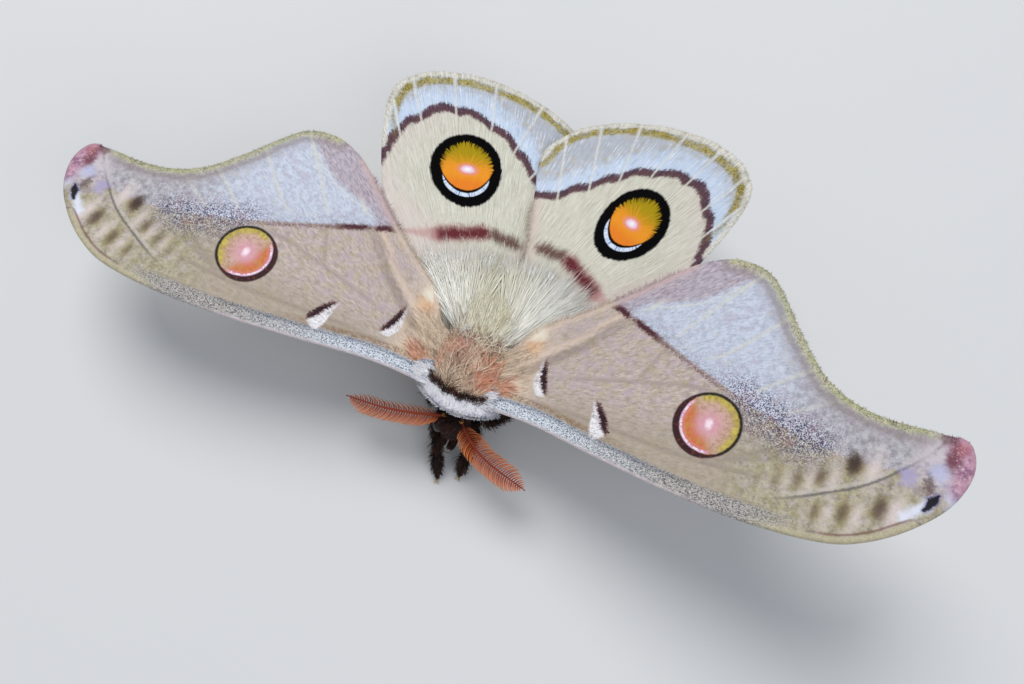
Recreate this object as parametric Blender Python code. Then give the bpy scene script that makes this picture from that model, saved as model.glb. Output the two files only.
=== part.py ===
"""Emperor gum moth, life size, as a still model: it stands on six feet with its four wings spread.

The moth faces -Y, its left side is +X and +Z is up. Sizes below are in millimetres and MM turns them
into metres. A wing is drawn flat, u outward along the span and v towards the rear, and then it is bent
and turned into place about its hinge on the thorax.
"""
import math
import random

import bmesh
import bpy
import numpy as np
from mathutils import Vector
from mathutils.geometry import delaunay_2d_cdt

MM = 0.001
GAP = 0.3
SEED = 11

# The point of the layout that becomes the model's origin, on the floor under the middle of its box.
CENTRE_X = -1.544
CENTRE_Y = 14.358

# Thorax: a box-like egg; the coat stands COAT above it.
THORAX = (0.9, -0.6, 10.9)
THORAX_HALF = (4.9, 7.2, 4.7)
THORAX_POWER = 2.5
COAT = 1.5
ROOT_DEPTH = 0.4

# Locks on the thorax: rows down its length, the spread of each row over the back, and the long hair.
LOCK_ROWS = 8
LOCKS_A_ROW = 9
LOCK_SPREAD = 112.0
LOCK_LENGTH = 3.7
LOCK_WIDTH = 2.0
LOCK_THICK = 0.7
FAN_LENGTH = 13.6
FAN_FIRST = 12.0
FAN_LAST = 98.0
FAN_LOCKS = 8
FAN_WIDTH = 2.7
FAN_THICK = 0.55
FAN_LIFT = 1.12

# Head, eyes and collar.
HEAD = (1.15, -9.3, 7.9)
HEAD_HALF = (2.2, 2.1, 2.5)
EYE_RADIUS = 1.15
EYE_OUT = (1.75, -0.75, 0.25)
COLLAR_MIDDLE = (1.2, -7.85, 14.0)
COLLAR_HALF_SPAN = 5.9
COLLAR_SWEEP_BACK = 1.9
COLLAR_DROP = 0.6
COLLAR_WIDTH = 3.0
COLLAR_THICK = 1.5
COLLAR_TILT = 42.0

# Abdomen: centre line and radius from the waist to the tip.
ABDOMEN_FRONT = (1.0, 5.6, 7.6)
ABDOMEN_TIP = (1.3, 28.6, 0.85)
ABDOMEN_RADIUS = 4.2
ABDOMEN_SEGMENTS = 8
SEGMENT_GROOVE = 0.93

# Wings: membrane, ridges and edges.
MEMBRANE = 0.5
VEIN_TOP = 0.22
VEIN_UNDER = 0.10
VEIN_WIDTH = 1.0
COSTA_EXTRA = 0.35
COSTA_BAND = 1.6
MARGIN_STEP = 2.7
VEIN_STEP = 4.2

FORE = {
    "base": (4.533, -3.679, 14.134),
    "right": {"sweep": 2.15, "dihedral": 10.86, "twist": -0.22, "bend": (-0.1046, 0.0037, -0.0584)},
    "left": {"sweep": 2.90, "dihedral": 18.22, "twist": 2.59, "bend": (-0.0191, 0.0691, 0.0173)},
    "root_v": (-0.9, 5.2),
    "costa": ((-0.1, -1.6), (0.6, -2.9), (4.6, -3.2), (9.7, -3.8), (19.8, -5.8), (30.0, -7.5),
              (40.0, -8.5), (49.0, -8.2), (54.0, -6.6), (58.5, -3.6)),
    "apex": ((62.1, 0.3), (63.7, 4.8), (62.6, 8.3), (59.2, 8.7)),
    "hollow": ((51.4, 9.2), (45.4, 11.9), (40.8, 17.0)),
    "tornus": ((37.3, 21.9), (34.0, 25.3), (29.2, 26.2)),
    "inner": ((24.0, 24.3), (18.4, 19.9), (12.0, 15.2), (4.8, 10.5), (1.6, 6.6)),
    "veins": (
        ((1.5, -1.6), (12.0, -2.9), (28.0, -5.4), (42.0, -6.2), (52.0, -4.6)),
        ((1.5, 0.6), (14.0, -0.6), (29.0, -2.2), (36.0, -2.4), (48.0, -2.0), (59.5, 1.2)),
        ((31.0, -2.3), (42.0, 0.6), (51.0, 3.4), (58.5, 7.3)),
        ((35.5, -1.0), (43.0, 2.6), (50.2, 5.0), (54.0, 7.6)),
        ((36.0, 3.0), (41.0, 6.4), (46.3, 10.2)),
        ((35.0, 6.6), (37.4, 9.4), (41.5, 12.8), (43.0, 13.6)),
        ((1.5, 2.4), (13.0, 4.6), (24.0, 6.6), (31.0, 7.4), (35.0, 6.6), (36.0, 3.0), (35.5, -1.0)),
        ((28.0, 7.2), (31.5, 12.3), (35.5, 16.8), (37.8, 18.9)),
        ((21.0, 6.1), (25.5, 13.5), (29.8, 20.2), (33.1, 24.1)),
        ((2.0, 4.2), (9.0, 9.8), (18.5, 16.2), (24.5, 21.8), (26.9, 24.3)),
    ),
}
HIND = {
    "base": (4.038, 3.774, 12.374),
    "right": {"sweep": 24.03, "dihedral": 8.87, "twist": -9.67, "bend": (0.0767, -0.0196, 0.1497)},
    "left": {"sweep": 19.79, "dihedral": 12.78, "twist": -4.37, "bend": (0.431, 0.0109, -0.0292)},
    "root_v": (-1.6, 4.6),
    "costa": ((2.0, -1.9), (8.0, -1.4), (15.0, 0.5), (22.3, 4.6)),
    "apex": ((29.8, 10.5), (34.3, 15.5), (35.8, 18.8), (35.6, 21.3)),
    "hollow": ((34.4, 24.7), (30.4, 29.8), (24.3, 34.5)),
    "tornus": ((17.2, 37.6), (10.5, 38.3), (5.6, 36.6), (3.0, 33.6)),
    "inner": ((2.5, 27.0), (2.3, 19.0), (1.6, 11.0), (0.8, 6.6)),
    "veins": (
        ((1.8, -0.8), (10.0, 0.6), (19.0, 4.4), (28.0, 10.2)),
        ((2.0, 0.6), (9.0, 4.0), (16.0, 7.0), (25.0, 11.4), (33.6, 16.6)),
        ((16.0, 7.0), (22.0, 13.2), (28.0, 17.4), (34.6, 21.4)),
        ((15.0, 11.0), (19.0, 16.6), (25.5, 22.4), (31.6, 27.2)),
        ((2.0, 2.4), (7.0, 7.4), (12.0, 12.6), (15.0, 11.0), (16.0, 7.0)),
        ((13.0, 12.4), (17.0, 20.0), (21.5, 26.6), (26.4, 31.9)),
        ((12.0, 12.6), (14.0, 20.5), (16.8, 28.5), (19.4, 35.6)),
        ((8.0, 8.6), (9.8, 17.5), (11.6, 27.5), (13.0, 37.2)),
        ((2.0, 4.4), (4.4, 12.5), (6.0, 22.0), (7.2, 35.6)),
    ),
}

# Antennae: shaft through root, middle and tip, and the angle of the front and rear combs.
ANTENNAE = {
    "right": {"path": ((-0.35, -8.85, 9.75), (-4.5, -10.15, 9.7), (-9.3, -11.2, 9.5), (-15.3, -11.7, 9.2)),
              "front": 0.0, "rear": -42.0},
    "left": {"path": ((2.3, -8.75, 9.75), (4.45, -10.6, 9.4), (8.2, -12.5, 8.8), (14.9, -14.1, 8.2)),
             "front": 0.0, "rear": 4.0},
}
SHAFT_RADIUS = 0.29
RAMUS_LENGTH = 2.4
RAMUS_RADIUS = 0.23
RAMI_A_SIDE = 17
RAMUS_LEAN = 32.0
SCAPE_RADIUS = 0.62

# Legs: hip, femur, knee, tibia end and the two ends of the foot, then the thickness of each stretch.
LEGS = {
    "leg_front_right": ((-0.7, -5.4, 5.7), (-1.9, -9.0, 5.1), (-0.45, -12.4, 3.7), (0.55, -14.9, 1.6),
                        (0.95, -15.7, 0.45), (1.15, -16.6, 0.35)),
    "leg_front_left": ((2.7, -5.4, 5.7), (4.0, -8.4, 5.2), (4.2, -10.9, 4.2), (4.05, -13.3, 1.8),
                       (4.05, -14.0, 0.45), (4.0, -14.9, 0.35)),
    "leg_mid_right": ((-0.7, -2.2, 5.5), (-2.4, -4.4, 4.9), (-4.0, -6.0, 4.9), (-5.9, -3.6, 2.2),
                      (-6.9, -2.2, 0.45), (-7.5, -1.2, 0.35)),
    "leg_mid_left": ((2.6, -2.2, 5.5), (4.0, -4.4, 4.9), (5.2, -6.2, 4.9), (6.7, -3.6, 2.2),
                     (7.5, -2.1, 0.45), (8.1, -1.1, 0.35)),
    "leg_hind_right": ((-0.8, 1.6, 5.5), (-3.0, 2.8, 4.9), (-5.4, 4.2, 4.9), (-7.2, 7.6, 2.2),
                       (-8.1, 9.6, 0.45), (-8.5, 10.8, 0.35)),
    "leg_hind_left": ((2.6, 1.6, 5.5), (4.8, 2.8, 4.9), (7.2, 4.2, 4.9), (8.8, 7.6, 2.2),
                      (9.6, 9.6, 0.45), (10.0, 10.8, 0.35)),
}
LEG_RADII = (0.85, 0.95, 0.62, 0.70, 0.45, 0.38)
TIBIA_FUR = {"leg_front": 1.1, "leg_mid": 0.95, "leg_hind": 0.95}

COLOURS = {
    "thorax": (0.42, 0.25, 0.16),
    "collar": (0.74, 0.76, 0.80),
    "head": (0.06, 0.04, 0.03),
    "eye": (0.02, 0.015, 0.012),
    "abdomen": (0.50, 0.36, 0.24),
    "leg": (0.045, 0.028, 0.022),
    "antenna": (0.58, 0.20, 0.05),
    "forewing": (0.60, 0.46, 0.36),
    "hindwing": (0.66, 0.56, 0.42),
}


def clear_scene():
    """Empty the scene, so that the model is all there is."""
    for obj in list(bpy.data.objects):
        bpy.data.objects.remove(obj, do_unlink=True)


def material(name):
    """One Principled material for each node, coloured by what the node is."""
    mat = bpy.data.materials.new(name)
    mat.use_nodes = True
    shader = mat.node_tree.nodes["Principled BSDF"]
    kind = next(key for key in COLOURS if name.startswith(key))
    shader.inputs["Base Color"].default_value = (*COLOURS[kind], 1.0)
    shader.inputs["Roughness"].default_value = 0.25 if kind == "eye" else 0.75
    shader.inputs["Metallic"].default_value = 0.0
    mat.diffuse_color = (*COLOURS[kind], 1.0)
    return mat


def unit(vector):
    """The vector at length 1."""
    return vector / max(np.linalg.norm(vector), 1e-9)


def smooth_curve(knots, steps):
    """Points of a Catmull-Rom curve through the knots, ends included."""
    knots = np.asarray(knots, float)
    padded = np.vstack([2 * knots[0] - knots[1], knots, 2 * knots[-1] - knots[-2]])
    points = []
    for i in range(1, len(padded) - 2):
        a, b, c, d = padded[i - 1:i + 3]
        for t in np.linspace(0, 1, steps, endpoint=False):
            points.append(0.5 * (2 * b + (c - a) * t + (2 * a - 5 * b + 4 * c - d) * t ** 2
                                 + (3 * b - a - 3 * c + d) * t ** 3))
    points.append(padded[-2])
    return np.array(points)


def even_steps(points, step):
    """The same line with points about a step apart, both ends kept."""
    lengths = np.concatenate([[0], np.cumsum(np.linalg.norm(np.diff(points, axis=0), axis=1))])
    count = max(2, int(round(lengths[-1] / step)) + 1)
    where = np.linspace(0, lengths[-1], count)
    return np.stack([np.interp(where, lengths, points[:, k]) for k in range(points.shape[1])], 1)


def mesh_object(name, verts, faces):
    """A closed mesh object, triangulated, with its faces turned outward."""
    mesh = bpy.data.meshes.new(name)
    mesh.from_pydata([tuple(MM * float(c) for c in v) for v in verts], [], [tuple(f) for f in faces])
    bm = bmesh.new()
    bm.from_mesh(mesh)
    bmesh.ops.triangulate(bm, faces=bm.faces)
    if bm.calc_volume(signed=True) < 0:
        bmesh.ops.reverse_faces(bm, faces=bm.faces)
    bm.to_mesh(mesh)
    bm.free()
    obj = bpy.data.objects.new(name, mesh)
    bpy.context.scene.collection.objects.link(obj)
    return obj


def keep_largest(mesh):
    """Keep only the closed surface that holds the most, without loose scraps or sealed hollows."""
    bm = bmesh.new()
    bm.from_mesh(mesh)
    bmesh.ops.triangulate(bm, faces=bm.faces)
    left = set(bm.faces)
    best, most = set(), -1.0
    while left:
        island, queue = set(), [next(iter(left))]
        while queue:
            face = queue.pop()
            if face in island:
                continue
            island.add(face)
            queue += [other for edge in face.edges for other in edge.link_faces if other not in island]
        left -= island
        held = sum(f.verts[0].co.dot(f.verts[1].co.cross(f.verts[2].co)) for f in island) / 6
        if held > most:
            best, most = island, held
    bmesh.ops.delete(bm, geom=[f for f in bm.faces if f not in best], context="FACES")
    bm.to_mesh(mesh)
    bm.free()


def apply_boolean(target, others, operation, solver="EXACT"):
    """One Boolean of the target with a collection of closed mesh objects, applied; they are removed."""
    group = bpy.data.collections.new(target.name + "_" + operation.lower())
    bpy.context.scene.collection.children.link(group)
    for obj in others:
        group.objects.link(obj)
        bpy.context.scene.collection.objects.unlink(obj)
    boolean = target.modifiers.new(operation.title(), "BOOLEAN")
    boolean.operand_type = "COLLECTION"
    boolean.collection = group
    boolean.operation = operation
    boolean.solver = solver
    shape = target.evaluated_get(bpy.context.evaluated_depsgraph_get())
    mesh = bpy.data.meshes.new_from_object(shape)
    target.modifiers.clear()
    old = target.data
    target.data = mesh
    bpy.data.meshes.remove(old)
    mesh.name = target.name
    for obj in list(group.objects):
        bpy.data.objects.remove(obj, do_unlink=True)
    bpy.data.collections.remove(group)
    keep_largest(mesh)


def fuse(target, pieces, solver="EXACT"):
    """Join pieces that overlap the target into one body with it."""
    apply_boolean(target, pieces, "UNION", solver)


def cut(target, cutters, solver="EXACT"):
    """Cut the target back from its neighbours' clearance shapes."""
    apply_boolean(target, cutters, "DIFFERENCE", solver)


def clearance(obj, gap=GAP):
    """A copy of a neighbour, larger by the gap all over."""
    mesh = obj.data.copy()
    bm = bmesh.new()
    bm.from_mesh(mesh)
    bm.normal_update()
    moves = [(v, v.normal * gap * 1.12 * MM * min(v.calc_shell_factor(), 2.0)) for v in bm.verts]
    for vert, move in moves:
        vert.co += move
    bm.to_mesh(mesh)
    bm.free()
    grown = bpy.data.objects.new(obj.name + "_clearance", mesh)
    bpy.context.scene.collection.objects.link(grown)
    return grown


def power(value, exponent):
    """A signed power, for superellipse sections."""
    return math.copysign(abs(value) ** exponent, value)


def egg(name, centre, half, exponent=2.0, around=18, along=10):
    """A superellipsoid whose poles point along Y."""
    verts = [(centre[0], centre[1] - half[1], centre[2])]
    for j in range(1, along):
        t = math.pi * (j / along - 0.5)
        y = centre[1] + half[1] * power(math.sin(t), 2 / exponent)
        r = power(math.cos(t), 2 / exponent)
        for i in range(around):
            a = 2 * math.pi * i / around
            x = centre[0] + half[0] * r * power(math.cos(a), 2 / exponent)
            z = centre[2] + half[2] * r * power(math.sin(a), 2 / exponent)
            verts.append((x, y, z))
    verts.append((centre[0], centre[1] + half[1], centre[2]))
    return mesh_object(name, verts, ring_faces(along - 1, around))


def ring_faces(rings, around):
    """Faces of rings of points with a pole before the first and after the last."""
    faces = []
    for i in range(around):
        nxt = (i + 1) % around
        faces.append((0, 1 + nxt, 1 + i))
        for j in range(rings - 1):
            a = 1 + j * around
            faces.append((a + i, a + nxt, a + around + nxt, a + around + i))
        last = 1 + (rings - 1) * around
        faces.append((last + i, last + nxt, last + around))
    return faces


def tube(name, path, radii, sides, flat=1.0, up=(0, 0, 1), floor=None):
    """A tapered tube along a path, its section flattened towards the up direction."""
    path = np.asarray(path, float)
    tangents = np.gradient(path, axis=0)
    verts = [path[0]]
    for point, tangent, radius in zip(path, tangents, radii):
        tangent = unit(tangent)
        side = unit(np.cross(np.asarray(up, float), tangent))
        above = np.cross(tangent, side)
        for i in range(sides):
            a = 2 * math.pi * (i + 0.5) / sides
            verts.append(point + side * radius * math.cos(a) + above * radius * flat * math.sin(a))
    verts.append(path[-1])
    verts = np.array(verts)
    if floor is not None:
        verts[:, 2] = np.maximum(verts[:, 2], floor)
    return mesh_object(name, verts, ring_faces(len(path), sides))


def lock(name, path, width, thick, up):
    """A flat tapered lock of hair: four sides, a blunt root and a pointed tip."""
    path = even_steps(smooth_curve(path, 4), 1e9) if len(path) == 2 else np.asarray(path, float)
    tangents = np.gradient(path, axis=0)
    verts = []
    shape = (0.75, 1.0, 0.72)
    for k in range(3):
        tangent = unit(tangents[k])
        side = unit(np.cross(np.asarray(up, float), tangent))
        above = np.cross(tangent, side)
        for out, lift in ((1, 0), (0, 1), (-1, 0), (0, -1)):
            verts.append(path[k] + side * out * width * shape[k] / 2 + above * lift * thick * shape[k] / 2)
    verts.append(path[3])
    faces = [(0, 1, 2, 3)]
    for k in range(2):
        for i in range(4):
            nxt = (i + 1) % 4
            faces.append((4 * k + i, 4 * k + 4 + i, 4 * k + 4 + nxt, 4 * k + nxt))
    for i in range(4):
        faces.append((8 + i, 12, 8 + (i + 1) % 4))
    return mesh_object(name, verts, faces)


class Wing:
    """Where a flat wing's points go: the wing's bend, its turn about the hinge, and its side."""

    def __init__(self, plan, side):
        self.plan = plan
        self.sign = 1 if side == "left" else -1
        pose = plan[side]
        self.bend = pose["bend"]
        sweep, dihedral, twist = (math.radians(pose[k]) for k in ("sweep", "dihedral", "twist"))
        about_z = np.array([[math.cos(sweep), -math.sin(sweep), 0],
                            [math.sin(sweep), math.cos(sweep), 0], [0, 0, 1]])
        about_y = np.array([[math.cos(dihedral), 0, -math.sin(dihedral)], [0, 1, 0],
                            [math.sin(dihedral), 0, math.cos(dihedral)]])
        about_x = np.array([[1, 0, 0], [0, math.cos(twist), -math.sin(twist)],
                            [0, math.sin(twist), math.cos(twist)]])
        self.turn = about_z @ about_y @ about_x
        reach = THORAX[0] * self.sign + THORAX_HALF[0] * (0.86 if plan is HIND else 0.80)
        self.root_u = reach - ROOT_DEPTH - plan["base"][0]

    def point(self, u, v, lift=0.0):
        """A point at a height over the wing's middle surface."""
        b0, b1, b2 = self.bend
        height = b0 * u * u / 60 + b1 * v * v / 40 + b2 * u * v / 50
        slope = np.array([-(2 * b0 * u / 60 + b2 * v / 50), -(2 * b1 * v / 40 + b2 * u / 50), 1.0])
        local = np.array([u, v, height]) + unit(slope) * lift
        place = self.turn @ local + np.array(self.plan["base"])
        place[0] *= self.sign
        return place

    def outline(self, steps=6):
        """The wing's edge, costa first, with the root kept straight across."""
        plan = self.plan
        knots = [(self.root_u, plan["root_v"][0])]
        for part in ("costa", "apex", "hollow", "tornus", "inner"):
            knots += list(plan[part])
        knots.append((self.root_u, plan["root_v"][1]))
        return smooth_curve(knots, steps)


def line_distance(u, v, line):
    """How far a point lies from a line of points."""
    start, end = line[:-1], line[1:]
    along = end - start
    rel = np.array([u, v]) - start
    t = np.clip((rel * along).sum(1) / np.maximum((along ** 2).sum(1), 1e-9), 0, 1)
    return float(np.sqrt(((rel - t[:, None] * along) ** 2).sum(1)).min())


def inside(u, v, poly):
    """Whether a flat point lies inside a closed outline."""
    within = False
    for (au, av), (bu, bv) in zip(poly, np.roll(poly, 1, axis=0)):
        if (av > v) != (bv > v) and u < (bu - au) * (v - av) / (bv - av) + au:
            within = not within
    return within


def wing_plan(wing, step, veins):
    """The flat wing as triangles: points and faces, with every vein's middle and both its sides."""
    edge = even_steps(wing.outline(), step)
    points = [tuple(p) for p in edge[:-1]] + [tuple(edge[-1])]
    ring = list(range(len(points)))
    lines = []
    for line in veins:
        steps = even_steps(smooth_curve(line, 5), VEIN_STEP)
        across = np.stack([-np.gradient(steps[:, 1]), np.gradient(steps[:, 0])], 1)
        across /= np.linalg.norm(across, axis=1)[:, None]
        widths = np.linspace(1.0, 0.8, len(steps)) * VEIN_WIDTH / 2
        rows = [steps, steps[:-1] + across[:-1] * widths[:-1, None], steps[:-1] - across[:-1] * widths[:-1, None]]
        rows[1] = np.vstack([rows[1], steps[-1:]])
        rows[2] = np.vstack([rows[2], steps[-1:]])
        for row in rows:
            first = len(points)
            points += [tuple(p) for p in row]
            lines += [(first + k, first + k + 1) for k in range(len(row) - 1)]
    spread = np.array(points)
    low, high = spread.min(0), spread.max(0)
    for u in np.arange(low[0] + 3, high[0], 5.5):
        for v in np.arange(low[1] + 3, high[1], 5.5):
            far = np.sqrt(((np.array(points) - (u, v)) ** 2).sum(1)).min()
            if far > 2.4 and inside(u, v, edge) and line_distance(u, v, edge) > 2.0:
                points.append((float(u), float(v)))
    flat = [Vector((float(u), float(v))) for u, v in points]
    verts, _, faces, _, _, _ = delaunay_2d_cdt(flat, lines, [ring], 1, 1e-4)
    return np.array([(p.x, p.y) for p in verts]), [tuple(f) for f in faces]


def wing_ridge(u, v, veins):
    """How far the veins raise the surface at a flat point, from 0 to 1."""
    far = min(line_distance(u, v, line) for line in veins)
    return max(0.0, 1.0 - far / (VEIN_WIDTH * 0.42))


def costa_extra(plan, u, v, costa):
    """How much the leading edge of a forewing is thickened on each face."""
    if plan is HIND:
        return 0.0
    return COSTA_EXTRA / 2 * max(0.0, 1.0 - line_distance(u, v, costa) / COSTA_BAND)


def two_faced(name, wing, flat, faces, top, under):
    """A thin curved solid: the same triangles on both faces, joined around the edge."""
    count = len(flat)
    verts = [wing.point(u, v, top(u, v)) for u, v in flat]
    verts += [wing.point(u, v, -under(u, v)) for u, v in flat]
    solid = []
    sides = {}
    for face in faces:
        solid.append(face)
        solid.append(tuple(count + k for k in reversed(face)))
        for a, b in zip(face, face[1:] + face[:1]):
            sides[(a, b)] = True
    for a, b in sides:
        if (b, a) not in sides:
            solid.append((b, a, count + a))
            solid.append((b, count + a, count + b))
    return mesh_object(name, verts, solid)


def make_wing(name, plan, side):
    """One wing: a membrane with its main veins raised and its leading edge thickened."""
    wing = Wing(plan, side)
    veins = [even_steps(smooth_curve(line, 5), VEIN_STEP) for line in plan["veins"]]
    flat, faces = wing_plan(wing, MARGIN_STEP, plan["veins"])
    costa = smooth_curve(plan["costa"], 5)

    def top(u, v):
        return MEMBRANE / 2 + VEIN_TOP * wing_ridge(u, v, veins) + costa_extra(plan, u, v, costa)

    def under(u, v):
        return MEMBRANE / 2 + VEIN_UNDER * wing_ridge(u, v, veins) + costa_extra(plan, u, v, costa)

    return two_faced(name, wing, flat, faces, top, under)


def wing_clearance(plan, side):
    """The space a wing needs, larger than it by the gap all round."""
    wing = Wing(plan, side)
    edge = even_steps(wing.outline(), 1.5)
    middle = edge.mean(0)
    along = np.gradient(edge, axis=0)
    out = np.stack([along[:, 1], -along[:, 0]], 1)
    out /= np.linalg.norm(out, axis=1)[:, None]
    if ((edge - middle) * out).sum() < 0:
        out = -out
    grown = edge + out * GAP * 1.1
    grown[0, 0] = wing.root_u - GAP
    grown[-1, 0] = wing.root_u - GAP
    points = [Vector((float(u), float(v))) for u, v in grown]
    low, high = grown.min(0), grown.max(0)
    for u in np.arange(low[0] + 2, high[0], 5.0):
        for v in np.arange(low[1] + 2, high[1], 5.0):
            if inside(u, v, edge) and line_distance(u, v, edge) > 2.0:
                points.append(Vector((float(u), float(v))))
    verts, _, faces, _, _, _ = delaunay_2d_cdt(points, [], [list(range(len(grown)))], 1, 1e-4)
    flat = np.array([(p.x, p.y) for p in verts])
    costa = smooth_curve(plan["costa"], 5)

    def top(u, v):
        return MEMBRANE / 2 + VEIN_TOP + GAP * 1.1 + costa_extra(plan, u, v, costa)

    def under(u, v):
        return MEMBRANE / 2 + VEIN_UNDER + GAP * 1.1 + costa_extra(plan, u, v, costa)

    return two_faced("clear_" + side, wing, flat, [tuple(f) for f in faces], top, under)


def all_wing_clearances(kinds=("fore", "hind")):
    """Clearance shapes of the wings named by kind, on both sides."""
    plans = {"fore": FORE, "hind": HIND}
    return [wing_clearance(plans[kind], side) for kind in kinds for side in ("left", "right")]


def make_collar():
    """The pale band over the front of the thorax, from one leading edge to the other."""
    middle = np.array(COLLAR_MIDDLE)
    ends = np.array([COLLAR_HALF_SPAN, COLLAR_SWEEP_BACK, -COLLAR_DROP])
    path = []
    for s in np.linspace(-1, 1, 13):
        path.append(middle + np.array([ends[0] * s, ends[1] * s * s, ends[2] * s * s]))
    tilt = math.radians(COLLAR_TILT)
    face = np.array([0, -math.sin(tilt), math.cos(tilt)])
    verts = [path[0]]
    for k, point in enumerate(path):
        s = abs(k / 6 - 1)
        width = COLLAR_WIDTH / 2 * (1 - 0.35 * s ** 3)
        thick = COLLAR_THICK / 2 * (1 - 0.45 * s ** 3)
        tangent = unit(np.gradient(np.array(path), axis=0)[k])
        back = unit(np.cross(face, tangent))
        up = np.cross(tangent, back)
        for i in range(12):
            a = 2 * math.pi * i / 12
            verts.append(point + back * width * power(math.cos(a), 0.8) + up * thick * power(math.sin(a), 0.8))
    verts.append(path[-1])
    return mesh_object("collar", verts, ring_faces(len(path), 12))


def make_abdomen():
    """A soft tapering barrel of ringed segments, sagging from the waist until its end rests on the floor."""
    front, tip = np.array(ABDOMEN_FRONT), np.array(ABDOMEN_TIP)
    rings = []
    for k in range(ABDOMEN_SEGMENTS):
        for part, groove in ((0.0, SEGMENT_GROOVE), (0.35, 1.0), (0.8, 1.0)):
            rings.append(((k + part) / ABDOMEN_SEGMENTS, groove))
    rings.append((1.0, 0.8))
    verts = [front]
    for s, groove in rings:
        centre = front + (tip - front) * s
        radius = ABDOMEN_RADIUS * (0.86 + 0.5 * s - 1.12 * s * s) * groove
        centre[2] = front[2] + (tip[2] - front[2]) * s ** 1.15
        for i in range(16):
            a = 2 * math.pi * i / 16
            verts.append((centre[0] + radius * 1.04 * math.cos(a), centre[1],
                          centre[2] + radius * math.sin(a)))
    verts.append(tip + np.array([0, 0.7, 0]))
    verts = np.array(verts, float)
    verts[:, 2] = np.maximum(verts[:, 2], 0.0)
    return mesh_object("abdomen", verts, ring_faces(len(rings), 16))


def make_leg(name):
    """A furred leg from the hip to a foot laid flat on the floor."""
    knots = [tuple(p) + (r,) for p, r in zip(LEGS[name], LEG_RADII)]
    knee, shin = np.array(knots[2]), np.array(knots[3])
    calf = knee * 0.5 + shin * 0.5
    calf[3] = TIBIA_FUR[name.rsplit("_", 1)[0]]
    knots.insert(3, tuple(calf))
    line = smooth_curve(knots, 3)
    return tube(name, line[:, :3], line[:, 3], 8, floor=0.0)


def make_head():
    """The head, bent down under the collar, with a pair of palps below the face."""
    head = egg("head", HEAD, HEAD_HALF, 2.2, around=16, along=9)
    palps = []
    for side in (-1, 1):
        x = HEAD[0] + side * 0.75
        path = [(x, HEAD[1] - 1.0, HEAD[2] - 1.4), (x, HEAD[1] - 2.0, HEAD[2] - 1.7),
                (x * 0.97 + 0.03, HEAD[1] - 2.9, HEAD[2] - 1.5)]
        palps.append(tube("palp", path, (0.75, 0.7, 0.35), 7))
    fuse(head, palps)
    return head


def head_space():
    """The space in the front of the thorax for the back of the head."""
    return egg("head_space", HEAD, [h + GAP for h in HEAD_HALF], 2.2, around=16, along=9)


def make_eye(name, sign):
    """A round eye set deep in the side of the head."""
    centre = (HEAD[0] + sign * EYE_OUT[0], HEAD[1] + EYE_OUT[1], HEAD[2] + EYE_OUT[2])
    return egg(name, centre, (EYE_RADIUS,) * 3, 2.0, around=14, along=9)


def comb_reach(s):
    """How long the comb's teeth are along the shaft, 0 at the root and 1 at the tip."""
    rise = min(1.0, (s + 0.09) / 0.25)
    fall = max(0.0, (0.97 - s) / 0.24)
    return RAMUS_LENGTH * rise * min(1.0, fall) ** 0.7


def ramus(root, out, ahead, length):
    """One tooth of a comb: three sides, leaning and bending towards the feeler's tip."""
    lean = math.radians(RAMUS_LEAN)
    start = root
    middle = root + length * 0.55 * unit(out * math.cos(lean * 0.6) + ahead * math.sin(lean * 0.6))
    tip = root + length * unit(out * math.cos(lean) + ahead * math.sin(lean))
    verts = []
    for point, radius in ((start, RAMUS_RADIUS), (middle, RAMUS_RADIUS * 0.8)):
        side = unit(np.cross(out, ahead))
        for i in range(3):
            a = 2 * math.pi * i / 3
            verts.append(point + radius * (ahead * math.cos(a) + side * math.sin(a)))
    verts.append(tip)
    faces = [(0, 1, 2)]
    for i in range(3):
        nxt = (i + 1) % 3
        faces += [(i, 3 + i, 3 + nxt, nxt), (3 + i, 6, 3 + nxt)]
    return mesh_object("ramus", verts, faces)


def make_antenna(name, side):
    """A feathered feeler: a tapering shaft with a comb of rami down each side."""
    plan = ANTENNAE[side]
    shaft = even_steps(smooth_curve(plan["path"], 6), 1.25)
    stations = np.linspace(0, 1, len(shaft))
    radii = SHAFT_RADIUS * (1 - 0.55 * stations ** 2)
    antenna = tube(name, shaft, radii, 5)
    pieces = [egg("scape", plan["path"][0], (SCAPE_RADIUS,) * 3, 2.0, around=10, along=6)]
    sign = 1 if side == "left" else -1
    for row, angle in enumerate((plan["front"], plan["rear"])):
        tilt = math.radians(angle)
        for k in range(RAMI_A_SIDE):
            s = 0.10 + 0.84 * (k + 0.5 * row) / RAMI_A_SIDE
            where = s * (len(shaft) - 1)
            root = np.array([np.interp(where, range(len(shaft)), shaft[:, c]) for c in range(3)])
            ahead = unit(shaft[min(int(where) + 1, len(shaft) - 1)] - shaft[int(where)])
            out = unit(np.cross(ahead, (0, 0, 1))) * sign * (1 - 2 * row)
            out = unit(out * math.cos(tilt) + np.array([0, 0, math.sin(tilt)]))
            pieces.append(ramus(root, out, ahead, max(comb_reach(s), 0.5)))
    fuse(antenna, pieces)
    return antenna


def antenna_socket(side):
    """The space in the head for the root of a feeler."""
    shaft = even_steps(smooth_curve(ANTENNAE[side]["path"], 6), 0.9)[:4]
    ball = egg("socket", shaft[0], (SCAPE_RADIUS + GAP * 1.1,) * 3, 2.0, around=12, along=8)
    fuse(ball, [tube("way", shaft, (SCAPE_RADIUS + GAP,) * 4, 10)])
    return ball


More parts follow.
